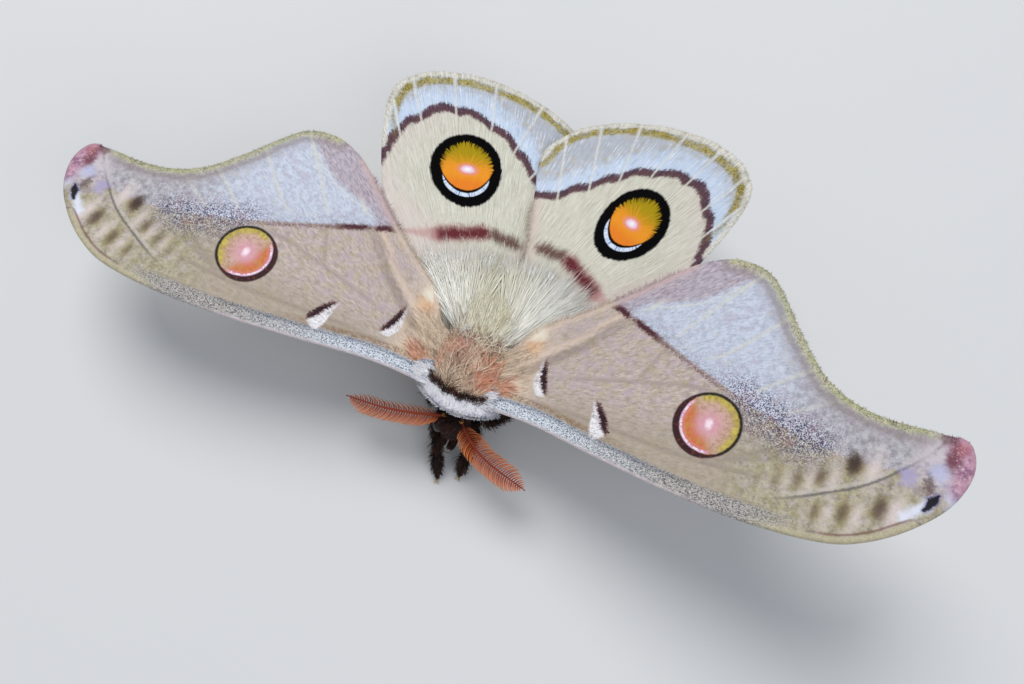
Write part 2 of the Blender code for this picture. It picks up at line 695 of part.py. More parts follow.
def thorax_point(angle, t, grow=0.0):
    """A point on the thorax: angle over the back from the middle line, t along it from -90 to 90 degrees."""
    half = [h + grow for h in THORAX_HALF]
    e = 2 / THORAX_POWER
    r = power(math.cos(t), e)
    return np.array([THORAX[0] + half[0] * r * power(math.sin(angle), e),
                     THORAX[1] + half[1] * power(math.sin(t), e),
                     THORAX[2] + half[2] * r * power(math.cos(angle), e)])


def lock_path(root, normal, along, length, lift):
    """The bent line of a lock: out of the skin at its root, then over along the lie of the coat."""
    return [root - normal * 0.45,
            root + length * (along * 0.30 + normal * lift * 0.55),
            root + length * (along * 0.66 + normal * lift * 0.92),
            root + length * (along * 1.00 + normal * lift * 0.95)]


def thorax_locks():
    """The woolly coat of the thorax in rows of locks that lie to the rear and overlap."""
    locks = []
    for j in range(LOCK_ROWS):
        t = math.radians(-58 + 118 * j / (LOCK_ROWS - 1))
        count = LOCKS_A_ROW - (j % 2) - 2 * (j in (0, LOCK_ROWS - 1))
        for i in range(count):
            share = (i + 0.5) / count * 2 - 1
            angle = math.radians(LOCK_SPREAD * share)
            root = thorax_point(angle, t)
            ahead = unit(thorax_point(angle, t + 0.08) - thorax_point(angle, t - 0.08))
            across = unit(thorax_point(angle + 0.06, t) - thorax_point(angle - 0.06, t))
            normal = unit(np.cross(across, ahead))
            if normal.dot(root - np.array(THORAX)) < 0:
                normal = -normal
            splay = random.uniform(-0.18, 0.18) + 0.22 * share
            along = unit(ahead + across * splay)
            length = LOCK_LENGTH * random.uniform(0.9, 1.15) * (1 + 0.25 * j / LOCK_ROWS)
            path = lock_path(root, normal, along, length, COAT / length * random.uniform(0.85, 1.1))
            locks.append(lock("lock", path, LOCK_WIDTH, LOCK_THICK, normal))
    return locks


def back_locks():
    """Longer hair from the rear of the thorax over the waist."""
    locks = []
    for i in range(7):
        share = i / 3 - 1
        angle = math.radians(62 * share)
        root = thorax_point(angle, math.radians(52))
        along = unit(np.array([0.30 * share, 1.0, -0.16 - 0.1 * abs(share)]))
        normal = unit(np.array([0.45 * share, 0.1, 1.0]))
        path = lock_path(root, normal, along, 6.2 - 1.2 * abs(share), 0.13)
        locks.append(lock("lock", path, LOCK_WIDTH, LOCK_THICK, normal))
    return locks


def fan_locks(side):
    """The fan of long pale hair over the base of a hindwing."""
    wing = Wing(HIND, side)
    locks = []
    for i in range(FAN_LOCKS):
        share = i / (FAN_LOCKS - 1)
        turn = math.radians(FAN_FIRST + (FAN_LAST - FAN_FIRST) * share)
        out = np.array([math.cos(turn), math.sin(turn)])
        root = np.array([wing.root_u + 0.5 + 1.2 * (1 - share), -0.6 + 3.4 * share])
        length = FAN_LENGTH * (0.94 + 0.06 * (i % 2)) - 1.5 * share
        bow = np.array([-out[1], out[0]]) * 0.7
        path = []
        for part, lift in ((0.0, 0.9), (0.35, 1.25), (0.7, 1.1), (1.0, 0.95)):
            spot = root + out * length * part + bow * math.sin(math.pi * part)
            path.append(wing.point(spot[0], spot[1], FAN_LIFT * lift))
        locks.append(lock("fan", path, FAN_WIDTH, FAN_THICK, (0, 0, 1)))
    return locks


def make_thorax():
    """The thorax: a core at half the depth of its coat, with the coat's locks and the two hair fans."""
    thorax = egg("thorax", THORAX, THORAX_HALF, THORAX_POWER, around=20, along=12)
    fuse(thorax, thorax_locks() + back_locks() + fan_locks("left") + fan_locks("right"))
    return thorax


def place(obj, root):
    """Give a node its material and hang it from the model's origin."""
    obj.data.materials.clear()
    obj.data.materials.append(material(obj.name))
    obj.data.shade_smooth()
    obj.data.set_sharp_from_angle(angle=math.radians(40))
    obj.parent = root


def main():
    clear_scene()
    random.seed(SEED)
    root = bpy.data.objects.new("moth", None)
    root.location = (-CENTRE_X * MM, -CENTRE_Y * MM, 0)
    bpy.context.scene.collection.objects.link(root)

    legs = [make_leg(name) for name in LEGS]
    eyes = [make_eye("eye_left", 1), make_eye("eye_right", -1)]
    antennae = [make_antenna("antenna_left", "left"), make_antenna("antenna_right", "right")]
    wings = [make_wing("forewing_left", FORE, "left"), make_wing("forewing_right", FORE, "right"),
             make_wing("hindwing_left", HIND, "left"), make_wing("hindwing_right", HIND, "right")]
    abdomen = make_abdomen()

    head = make_head()
    sockets = [antenna_socket(side) for side in ("left", "right")]
    cut(head, sockets + [clearance(obj) for obj in eyes + legs[:2]])

    collar = make_collar()
    cut(collar, all_wing_clearances(("fore",)))

    thorax = make_thorax()
    cut(thorax, all_wing_clearances())
    sockets = [antenna_socket(side) for side in ("left", "right")]
    cut(thorax, [head_space(), clearance(collar), clearance(abdomen)] + sockets)
    cut(thorax, [clearance(leg) for leg in legs])

    for obj in [thorax, collar, head, abdomen] + eyes + antennae + legs + wings:
        place(obj, root)


main()
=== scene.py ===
import math

import bpy
import numpy as np
from mathutils import Matrix, Vector
from mathutils.geometry import delaunay_2d_cdt


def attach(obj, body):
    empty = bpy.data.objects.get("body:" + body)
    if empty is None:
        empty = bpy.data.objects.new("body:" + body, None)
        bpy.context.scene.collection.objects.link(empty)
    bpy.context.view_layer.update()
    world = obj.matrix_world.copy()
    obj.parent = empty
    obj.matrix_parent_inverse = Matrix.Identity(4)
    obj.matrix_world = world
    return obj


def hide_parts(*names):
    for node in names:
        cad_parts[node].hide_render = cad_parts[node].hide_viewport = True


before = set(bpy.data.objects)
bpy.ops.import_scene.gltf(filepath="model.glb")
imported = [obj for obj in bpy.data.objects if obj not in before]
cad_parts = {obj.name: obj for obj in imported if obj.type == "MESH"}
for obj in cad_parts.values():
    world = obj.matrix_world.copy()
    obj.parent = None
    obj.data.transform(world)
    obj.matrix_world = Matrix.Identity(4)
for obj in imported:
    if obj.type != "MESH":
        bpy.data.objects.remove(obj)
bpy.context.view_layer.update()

MM = 0.001
CENTRE = np.array([-1.544, 14.358, 0.0])
RNG = np.random.default_rng(23)

# The camera, at the photo's angle.
CAMERA_PLACE = (25.613643, -39.750825, 144.743032)
CAMERA_RIGHT = (0.916519, 0.399845, -0.010794)
CAMERA_UP = (-0.37129, 0.860484, 0.348872)
CAMERA_BACK = (0.148782, -0.31574, 0.937108)
LENS = 33.363
FLOOR_HALF = 1.6
FLOOR_TOP = -2e-5

# Body, as in the solids.
THORAX = np.array([0.9, -0.6, 10.9])
THORAX_HALF = np.array([4.9, 7.2, 4.7])
THORAX_POWER = 2.5
HEAD = np.array([1.15, -9.3, 7.9])
HEAD_HALF = np.array([2.2, 2.1, 2.5])
EYE_RADIUS = 1.15
EYE_OUT = np.array([1.75, -0.75, 0.25])
COLLAR_MIDDLE = np.array([1.2, -7.85, 14.0])
COLLAR_ENDS = np.array([5.9, 1.9, -0.6])
COLLAR_TILT = 42.0
ABDOMEN_FRONT = np.array([1.0, 5.6, 7.6])
ABDOMEN_TIP = np.array([1.3, 28.6, 0.85])
ABDOMEN_RADIUS = 4.2
ABDOMEN_SEGMENTS = 8
COLLAR_FACE = np.array([0.0, -math.sin(math.radians(COLLAR_TILT)), math.cos(math.radians(COLLAR_TILT))])

# How deep the skin lies inside the solids, under the coat.
THORAX_DEPTH = 0.1
HEAD_DEPTH = 0.25
ABDOMEN_DEPTH = 0.45
LEG_CORE = 0.55
LEG_LEAST = 0.24

# Hair: the fans' length and headings in degrees, and the places along a blade that have points.
FAN_LENGTH = 13.6
FAN_FIRST = 12.0
FAN_LAST = 98.0
STATIONS = (0.0, 0.4, 0.75, 1.0)
BLADE_POINTS = 10
PATCH = 0.003

# Feelers: the shaft through root, middle and tip, and the angle of the front and rear combs.
ANTENNAE = {
    "right": {"path": ((-0.35, -8.85, 9.75), (-4.5, -10.15, 9.7), (-9.3, -11.2, 9.5), (-15.3, -11.7, 9.2)),
              "front": 0.0, "rear": -42.0},
    "left": {"path": ((2.3, -8.75, 9.75), (4.45, -10.6, 9.4), (8.2, -12.5, 8.8), (14.9, -14.1, 8.2)),
             "front": 0.0, "rear": 4.0},
}
SHAFT_RADIUS = 0.29
RAMUS_LENGTH = 2.4
RAMI_A_SIDE = 18
SCAPE_RADIUS = 0.62

# Legs: hip, femur, knee, shin, ankle and toe.
LEGS = {
    "leg_front_right": ((-0.7, -5.4, 5.7), (-1.9, -9.0, 5.1), (-0.45, -12.4, 3.7), (0.55, -14.9, 1.6),
                        (0.95, -15.7, 0.45), (1.15, -16.6, 0.35)),
    "leg_front_left": ((2.7, -5.4, 5.7), (4.0, -8.4, 5.2), (4.2, -10.9, 4.2), (4.05, -13.3, 1.8),
                       (4.05, -14.0, 0.45), (4.0, -14.9, 0.35)),
    "leg_mid_right": ((-0.7, -2.2, 5.5), (-2.4, -4.4, 4.9), (-4.0, -6.0, 4.9), (-5.9, -3.6, 2.2),
                      (-6.9, -2.2, 0.45), (-7.5, -1.2, 0.35)),
    "leg_mid_left": ((2.6, -2.2, 5.5), (4.0, -4.4, 4.9), (5.2, -6.2, 4.9), (6.7, -3.6, 2.2),
                     (7.5, -2.1, 0.45), (8.1, -1.1, 0.35)),
    "leg_hind_right": ((-0.8, 1.6, 5.5), (-3.0, 2.8, 4.9), (-5.4, 4.2, 4.9), (-7.2, 7.6, 2.2),
                       (-8.1, 9.6, 0.45), (-8.5, 10.8, 0.35)),
    "leg_hind_left": ((2.6, 1.6, 5.5), (4.8, 2.8, 4.9), (7.2, 4.2, 4.9), (8.8, 7.6, 2.2),
                      (9.6, 9.6, 0.45), (10.0, 10.8, 0.35)),
}
PALP_RADII = (0.45, 0.5, 0.5, 0.42, 0.25)
LEG_RADII = (0.85, 0.95, 0.62, 0.70, 0.45, 0.38)
CALF_RADIUS = {"leg_front": 1.1, "leg_mid": 0.95, "leg_hind": 0.95}

# The wings: where their roots are, how each side is turned (in degrees) and bent, and their flat outline,
# the line between their inner and outer parts, and their veins.
FORE = {
    "base": (4.533, -3.679, 14.134),
    "right": {"sweep": 2.15, "dihedral": 10.86, "twist": -0.22, "bend": (-0.1046, 0.0037, -0.0584)},
    "left": {"sweep": 2.90, "dihedral": 18.22, "twist": 2.59, "bend": (-0.0191, 0.0691, 0.0173)},
    "root_v": (-0.9, 5.2),
    "costa": ((-0.1, -1.6), (0.6, -2.9), (4.6, -3.2), (9.7, -3.8), (19.8, -5.8), (30.0, -7.5),
              (40.0, -8.5), (49.0, -8.2), (54.0, -6.6), (58.5, -3.6)),
    "margin": ((62.1, 0.3), (63.7, 4.8), (62.6, 8.3), (59.2, 8.7), (51.4, 9.2), (45.4, 11.9), (40.8, 17.0),
               (37.3, 21.9), (34.0, 25.3), (29.2, 26.2)),
    "inner": ((24.0, 24.3), (18.4, 19.9), (12.0, 15.2), (4.8, 10.5), (1.6, 6.6)),
    "line": ((11.0, 17.6), (14.2, 16.6), (20.0, 14.0), (29.9, 9.3), (39.9, 5.2), (50.5, 2.6), (58.0, 3.6),
             (62.0, 8.0)),
    "veins": (
        ((0.5, -1.0), (12.0, -2.6), (28.0, -5.2), (42.0, -6.0), (52.0, -4.2)),
        ((0.5, 0.6), (14.0, -0.6), (29.0, -2.2), (36.0, -2.4), (48.0, -2.0), (56.0, 0.4), (60.3, 8.2)),
        ((31.0, -2.3), (42.0, 0.6), (51.0, 3.4), (57.0, 8.6)),
        ((35.5, -1.0), (43.0, 2.6), (50.2, 4.8), (54.5, 8.6)),
        ((36.0, 3.0), (41.0, 6.4), (48.0, 10.3)),
        ((35.0, 6.6), (37.4, 9.0), (41.8, 12.2), (43.6, 13.4)),
        ((0.5, 2.4), (13.0, 4.6), (24.0, 6.6), (31.0, 7.4), (35.0, 6.6), (36.0, 3.0), (35.5, -1.0)),
        ((28.0, 7.2), (28.6, 11.0), (31.5, 12.5), (38.6, 19.5)),
        ((21.0, 6.1), (24.0, 12.5), (27.4, 17.4), (33.9, 24.9)),
        ((0.5, 4.0), (9.0, 9.4), (19.0, 16.4), (24.0, 21.4), (27.0, 25.4)),
    ),
}
HIND = {
    "base": (4.038, 3.774, 12.374),
    "right": {"sweep": 24.03, "dihedral": 8.87, "twist": -9.67, "bend": (0.0767, -0.0196, 0.1497)},
    "left": {"sweep": 19.79, "dihedral": 12.78, "twist": -4.37, "bend": (0.431, 0.0109, -0.0292)},
    "root_v": (-1.6, 4.6),
    "costa": ((2.0, -1.9), (8.0, -1.4), (15.0, 0.5), (22.3, 4.6)),
    "margin": ((29.8, 10.5), (34.3, 15.5), (35.8, 18.8), (35.6, 21.3), (34.4, 24.7), (30.4, 29.8),
               (24.3, 34.5), (17.2, 37.6), (10.5, 38.3), (5.6, 36.6), (3.0, 33.6)),
    "inner": ((2.5, 27.0), (2.3, 19.0), (1.6, 11.0), (0.8, 6.6)),
    "line": ((27.6, 7.6), (28.8, 10.5), (30.0, 14.0), (29.9, 17.8), (28.4, 22.6), (25.0, 25.6),
             (20.0, 27.6), (15.8, 27.7), (10.0, 26.8), (6.0, 26.0), (2.3, 26.2), (1.0, 26.4)),
    "veins": (
        ((0.8, -0.8), (10.0, 0.6), (19.0, 4.4), (28.0, 10.2)),
        ((0.8, 0.6), (9.0, 4.0), (16.0, 7.0), (25.0, 11.4), (34.2, 16.6)),
        ((16.0, 7.0), (22.0, 13.2), (28.0, 17.4), (35.4, 21.6)),
        ((15.0, 11.0), (19.0, 16.6), (25.5, 22.4), (32.2, 27.8)),
        ((0.8, 2.4), (7.0, 7.4), (12.0, 12.6), (15.0, 11.0), (16.0, 7.0)),
        ((13.0, 12.4), (17.0, 20.0), (21.5, 26.6), (27.0, 32.6)),
        ((12.0, 12.6), (14.0, 20.5), (16.8, 28.5), (19.6, 36.6)),
        ((8.0, 8.6), (9.8, 17.5), (11.6, 27.5), (13.0, 38.0)),
        ((0.8, 4.4), (4.4, 12.5), (6.0, 22.0), (7.2, 37.2)),
    ),
}

# Where the hair of the wings radiates from, and the eyespots.
HAIR_CENTRE = (-9.0, -4.0)
FORE_EYE = (31.9, 2.6)
FORE_EYE_RADIUS = 4.5
HIND_EYE = (18.5, 18.5)
HIND_EYE_RADIUS = 5.82
HIND_EYE_CLEAR = 6.6
HIND_EYE_LONG = 6.31
HIND_EYE_TURN = 0.98

# Places of the salmon hair on the thorax, with how far each spreads and its linear colour.
ORANGE_LOCKS = (
    ((-3.2, -2.6), 0.9, (0.86, 0.40, 0.25, 1.0)),
    ((3.4, -4.0), 0.7, (0.88, 0.36, 0.22, 1.0)),
    ((-0.4, -1.8), 0.45, (0.84, 0.40, 0.34, 1.0)),
)

# Lines on the forewing: the dark one near the tip, the fold at the rear, along which painted shade and a
# painted highlight lie, and the rose edge of the tip.
TIP_LINE = ((40.4, -5.2), (44.2, -3.9), (48.4, -2.0), (52.4, 0.1), (56.2, 3.3), (58.6, 5.8), (60.3, 8.3))
FOLD_LINE = ((4.5, 4.6), (7.2, 6.7), (11.5, 9.9), (15.3, 13.6), (19.0, 16.7), (22.6, 17.8), (26.6, 19.2),
             (30.3, 21.7), (34.0, 25.0))
PINK_LINE = ((62.7, 2.6), (62.3, 5.6), (60.9, 8.5))

# The two dark dashes near the forewing's base: rear and front end, bow, and how wide the white wedge is.
MARKS = (
    ((7.3, 5.9), (8.8, 1.2), 0.38, 1.0),
    ((16.5, 1.9), (19.0, -2.2), -0.15, 1.7),
)

# Smudges near the forewing's tip: place, half length along the wing, half width, and how dark.
SMUDGES = (
    (54.4, -2.2, 1.9, 0.95, 1.0), (50.5, -4.0, 1.7, 0.85, 0.85), (47.3, -4.8, 1.5, 0.75, 0.7),
    (45.2, -5.4, 1.2, 0.6, 0.4), (50.6, 2.2, 1.6, 1.15, 1.0), (47.1, -0.2, 1.6, 0.8, 0.75),
    (44.5, -1.3, 1.5, 0.75, 0.7), (42.0, -2.2, 1.4, 0.7, 0.55), (39.7, -2.9, 1.2, 0.6, 0.4),
)


def metres(points):
    """Layout millimetres to the frame's metres."""
    return (np.asarray(points, float) - CENTRE) * MM


def unit(vectors):
    """Vectors at length 1, row by row."""
    vectors = np.asarray(vectors, float)
    return vectors / np.maximum(np.linalg.norm(vectors, axis=-1, keepdims=True), 1e-9)


def curve(knots, steps=6):
    """Points of a Catmull-Rom curve through the knots."""
    knots = np.asarray(knots, float)
    padded = np.vstack([2 * knots[0] - knots[1], knots, 2 * knots[-1] - knots[-2]])
    t = np.linspace(0, 1, steps, endpoint=False)[:, None]
    points = []
    for i in range(1, len(padded) - 2):
        a, b, c, d = padded[i - 1:i + 3]
        points.append(0.5 * (2 * b + (c - a) * t + (2 * a - 5 * b + 4 * c - d) * t ** 2
                             + (3 * b - a - 3 * c + d) * t ** 3))
    return np.vstack(points + [padded[-2:-1]])


def even(points, step):
    """The same line with points about a step apart."""
    along = np.concatenate([[0], np.cumsum(np.linalg.norm(np.diff(points, axis=0), axis=1))])
    where = np.linspace(0, along[-1], max(2, int(round(along[-1] / step)) + 1))
    return np.stack([np.interp(where, along, points[:, k]) for k in range(points.shape[1])], 1)


def distance(points, line):
    """How far each flat point is from a line, and on which side of it: left is positive."""
    best = np.full(len(points), 1e9)
    side = np.ones(len(points))
    for a, b in zip(line[:-1], line[1:]):
        along = b - a
        rel = points - a
        t = np.clip(rel @ along / max(along @ along, 1e-12), 0, 1)
        gap = rel - t[:, None] * along
        far = np.hypot(gap[:, 0], gap[:, 1])
        near = far < best
        best[near] = far[near]
        turn = along[0] * rel[:, 1] - along[1] * rel[:, 0]
        side[near] = np.sign(turn[near])
    return best, side


def from_curve(points, knots, step=0.5):
    """How far flat points are from the curve through some knots, and on which side of it."""
    return distance(points, even(curve(knots), step))


def within(points, outline):
    """Which flat points lie inside a closed outline."""
    inside = np.zeros(len(points), bool)
    u, v = points[:, 0], points[:, 1]
    for (au, av), (bu, bv) in zip(outline, np.roll(outline, 1, axis=0)):
        if av == bv:
            continue
        inside ^= ((av > v) != (bv > v)) & (u < (bu - au) * (v - av) / (bv - av) + au)
    return inside


def lay(plan, side, flat, lift):
    """Places points of a flat wing: flat is u, v and lift is the height over the wing's middle surface."""
    pose = plan[side]
    b0, b1, b2 = pose["bend"]
    s, d, t = (math.radians(pose[k]) for k in ("sweep", "dihedral", "twist"))
    about_z = np.array([[math.cos(s), -math.sin(s), 0], [math.sin(s), math.cos(s), 0], [0, 0, 1]])
    about_y = np.array([[math.cos(d), 0, -math.sin(d)], [0, 1, 0], [math.sin(d), 0, math.cos(d)]])
    about_x = np.array([[1, 0, 0], [0, math.cos(t), -math.sin(t)], [0, math.sin(t), math.cos(t)]])
    u, v = flat[:, 0], flat[:, 1]
    height = b0 * u * u / 60 + b1 * v * v / 40 + b2 * u * v / 50
    slope_u = 2 * b0 * u / 60 + b2 * v / 50
    slope_v = 2 * b1 * v / 40 + b2 * u / 50
    slope = np.stack([-slope_u, -slope_v, np.ones(len(u))], 1)
    local = np.stack([u, v, height], 1) + unit(slope) * np.asarray(lift, float).reshape(-1, 1)
    place = local @ (about_z @ about_y @ about_x).T + np.array(plan["base"])
    place[:, 0] *= 1 if side == "left" else -1
    return place


def root_u(plan, side):
    """Where a wing's root goes into the thorax."""
    sign = 1 if side == "left" else -1
    return THORAX[0] * sign + THORAX_HALF[0] * (0.86 if plan is HIND else 0.80) - 0.4 - plan["base"][0]


def outline(plan, side):
    """The wing's edge, costa first."""
    root = root_u(plan, side)
    front, rear = plan["root_v"]
    return curve([(root, front), *plan["costa"], *plan["margin"], *plan["inner"], (root, rear)])


class Num:
    """A number that a material works out, so that a pattern is written as plain sums."""

    def __init__(self, tree, socket):
        self.tree = tree
        self.socket = socket

    def calc(self, kind, *others, clamp=False):
        node = self.tree.nodes.new("ShaderNodeMath")
        node.operation = kind
        node.use_clamp = clamp
        for slot, item in zip(node.inputs, (self, *others)):
            put(self.tree, slot, item)
        return Num(self.tree, node.outputs[0])

    def __add__(self, other):
        return self.calc("ADD", other)

    def __sub__(self, other):
        return self.calc("SUBTRACT", other)

    def __mul__(self, other):
        return self.calc("MULTIPLY", other)

    def __truediv__(self, other):
        return self.calc("DIVIDE", other)

    def __rsub__(self, other):
        return self.calc("MULTIPLY", -1.0).calc("ADD", other)

    __radd__ = __add__
    __rmul__ = __mul__

    def __abs__(self):
        return self.calc("ABSOLUTE")

    def sqrt(self):
        return self.calc("SQRT")

    def ramp(self, low, high):
        """0 below low and 1 above high, smooth between; the other way round where high is below low."""
        node = self.tree.nodes.new("ShaderNodeMapRange")
        node.interpolation_type = "SMOOTHSTEP"
        put(self.tree, node.inputs["Value"], self)
        ends = (low, high, 0.0, 1.0) if high > low else (high, low, 1.0, 0.0)
        for name, item in zip(("From Min", "From Max", "To Min", "To Max"), ends):
            node.inputs[name].default_value = item
        return Num(self.tree, node.outputs[0])

    def band(self, middle, half, soft):
        """1 within half of the middle, fading over soft."""
        return abs(self - middle).ramp(half + soft, half)

    def sway(self, size):
        """A noise of 0 to 1 as a shift to both sides, by size between its ends."""
        return (self - 0.5) * size

    def under(self, *layers):
        """This colour with others laid over it in turn, each by an amount from 0 to 1."""
        colour = self
        for over, amount in layers:
            colour = blended(self.tree, colour, over, amount)
        return colour


def put(tree, slot, item):
    """Sets a socket to a number or a colour of 0 to 255 values, or links it to one that is worked out."""
    if isinstance(item, Num):
        tree.links.new(item.socket, slot)
    elif isinstance(item, tuple) and len(item) == 3:
        slot.default_value = linear(*item)
    else:
        slot.default_value = item


def blended(tree, under, over, amount):
    """One colour over another by an amount from 0 to 1."""
    node = tree.nodes.new("ShaderNodeMix")
    node.data_type = "RGBA"
    node.clamp_factor = True
    put(tree, node.inputs[0], amount)
    put(tree, node.inputs[6], under)
    put(tree, node.inputs[7], over)
    return Num(tree, node.outputs[2])


def linear(red, green, blue):
    """A linear colour from its usual 0 to 255 values."""
    values = []
    for part in (red, green, blue):
        part /= 255
        values.append(part / 12.92 if part < 0.04045 else ((part + 0.055) / 1.055) ** 2.4)
    return (*values, 1.0)


class Look:
    """One procedural material: what its nodes read, and how its colours are laid over each other."""

    def __init__(self, name, rough=0.6, sheen=0.0, specular=0.3):
        self.mat = bpy.data.materials.new(name)
        self.mat.use_nodes = True
        self.tree = self.mat.node_tree
        self.shader = self.tree.nodes["Principled BSDF"]
        self.shader.inputs["Roughness"].default_value = rough
        self.shader.inputs["Sheen Weight"].default_value = sheen
        self.shader.inputs["Specular IOR Level"].default_value = specular

    def read(self, name):
        """The three numbers of an attribute of the mesh."""
        node = self.tree.nodes.new("ShaderNodeAttribute")
        node.attribute_name = name
        split = self.tree.nodes.new("ShaderNodeSeparateXYZ")
        self.tree.links.new(node.outputs["Vector"], split.inputs[0])
        return [Num(self.tree, out) for out in split.outputs]

    def join(self, x, y, z=0.0):
        node = self.tree.nodes.new("ShaderNodeCombineXYZ")
        for slot, item in zip(node.inputs, (x, y, z)):
            put(self.tree, slot, item)
        return Num(self.tree, node.outputs[0])

    def noise(self, where, scale, detail=2.0, rough=0.5):
        node = self.tree.nodes.new("ShaderNodeTexNoise")
        self.tree.links.new(where.socket, node.inputs["Vector"])
        node.inputs["Scale"].default_value = scale
        node.inputs["Detail"].default_value = detail
        node.inputs["Roughness"].default_value = rough
        return Num(self.tree, node.outputs[0])

    def cells(self, where, scale):
        """A random number for each small cell, as scales have."""
        node = self.tree.nodes.new("ShaderNodeTexVoronoi")
        self.tree.links.new(where.socket, node.inputs["Vector"])
        node.inputs["Scale"].default_value = scale
        split = self.tree.nodes.new("ShaderNodeSeparateXYZ")
        self.tree.links.new(node.outputs["Color"], split.inputs[0])
        return Num(self.tree, split.outputs[0])

    def mix(self, under, over, amount):
        return blended(self.tree, under, over, amount)

    def shade(self, colour, amount):
        """A colour made lighter or darker by a factor."""
        node = self.tree.nodes.new("ShaderNodeVectorMath")
        node.operation = "SCALE"
        put(self.tree, node.inputs[0], colour)
        put(self.tree, node.inputs["Scale"], amount)
        return Num(self.tree, node.outputs[0])

    def finish(self, colour, height=None, depth=0.00004, rough=None):
        put(self.tree, self.shader.inputs["Base Color"], colour)
        if rough is not None:
            put(self.tree, self.shader.inputs["Roughness"], rough)
        if height is not None:
            bump = self.tree.nodes.new("ShaderNodeBump")
            bump.inputs["Distance"].default_value = depth
            bump.inputs["Strength"].default_value = 0.8
            put(self.tree, bump.inputs["Height"], height)
            self.tree.links.new(bump.outputs[0], self.shader.inputs["Normal"])
        return self.mat


def place_of(look):
    """The material's place on the model, for a texture."""
    node = look.tree.nodes.new("ShaderNodeNewGeometry")
    return Num(look.tree, node.outputs["Position"])


def segment(u, v, a, b):
    """How far a point of the material is from a short straight line, and how far along it from 0 to 1."""
    along = (b[0] - a[0], b[1] - a[1])
    square = along[0] ** 2 + along[1] ** 2
    t = ((u - a[0]) * (along[0] / square) + (v - a[1]) * (along[1] / square)).calc("ADD", 0.0, clamp=True)
    du = u - a[0] - t * along[0]
    dv = v - a[1] - t * along[1]
    return (du * du + dv * dv).sqrt(), t


def round_spot(u, v, middle, half):
    """The distance from a middle, in shares of the spot's half sizes along u and v."""
    du, dv = (u - middle[0]) / half[0], (v - middle[1]) / half[1]
    return (du * du + dv * dv).sqrt()


def arc(u, v, a, b, bow):
    """How far along a shallow arc a point lies, from 0 to 1, and how far to its base side."""
    du, dv = b[0] - a[0], b[1] - a[1]
    length = math.hypot(du, dv)
    t = ((u - a[0]) * du + (v - a[1]) * dv) / length ** 2
    beside = ((u - a[0]) * dv - (v - a[1]) * du) / length
    return t, beside - bow * 4 * t * (1 - t)


def wing_texture(look, u, v, seed, short=0.8):
    """The hair streaks, the scales, the soft clouds and the mottling of a wing, each from 0 to 1."""
    du, dv = u - HAIR_CENTRE[0], v - HAIR_CENTRE[1]
    turn = dv.calc("ARCTAN2", du)
    reach = (du * du + dv * dv).sqrt()
    wave = look.noise(look.join(u, v, seed), 0.5, 1.0)
    streak = look.noise(look.join(turn * 260.0 + wave * 3.0, reach * short, seed), 1.0, 3.0, 0.7)
    grain = look.cells(look.join(u, v, seed), 8.0)
    cloud = look.noise(look.join(u, v, seed + 3), 0.16, 3.0)
    mottle = look.noise(look.join(turn * 60.0, reach * 0.9, seed + 5), 1.0, 4.0, 0.78)
    return streak, grain, cloud, mottle


def base_marks(look, colour, u, v, streak, fine):
    """The two dark dashes near the forewing's base, each with a ragged white wedge on its inner side."""
    for rear, front, bow, wide in MARKS:
        t, beside = arc(u, v, rear, front, bow)
        ragged = beside + streak.sway(1.1) + fine.sway(0.6)
        reach = 0.45 + wide * t.ramp(-0.1, 0.8) * t.ramp(1.25, 0.95)
        white = ragged.ramp(0.0, 0.35) * (ragged - reach).ramp(0.25, -0.2)
        white = white * t.ramp(-0.12, 0.15) * t.ramp(1.12, 0.98)
        colour = look.mix(colour, look.mix((196, 186, 200), (250, 250, 252), streak.ramp(0.3, 0.6)), white)
        half = 0.42 * t.ramp(-0.15, 0.45) * t.ramp(1.15, 0.7)
        dash = (abs(ragged) - half) - t.ramp(0.0, 0.2) * t.ramp(1.05, 0.9) * 0.02
        ends = t.ramp(-0.12, 0.05) * t.ramp(1.1, 0.98)
        colour = colour.under(
            ((112, 66, 70), dash.ramp(0.36, -0.1) * ends * 0.85),
            ((44, 16, 26), dash.ramp(0.12, -0.25) * ends))
    return colour


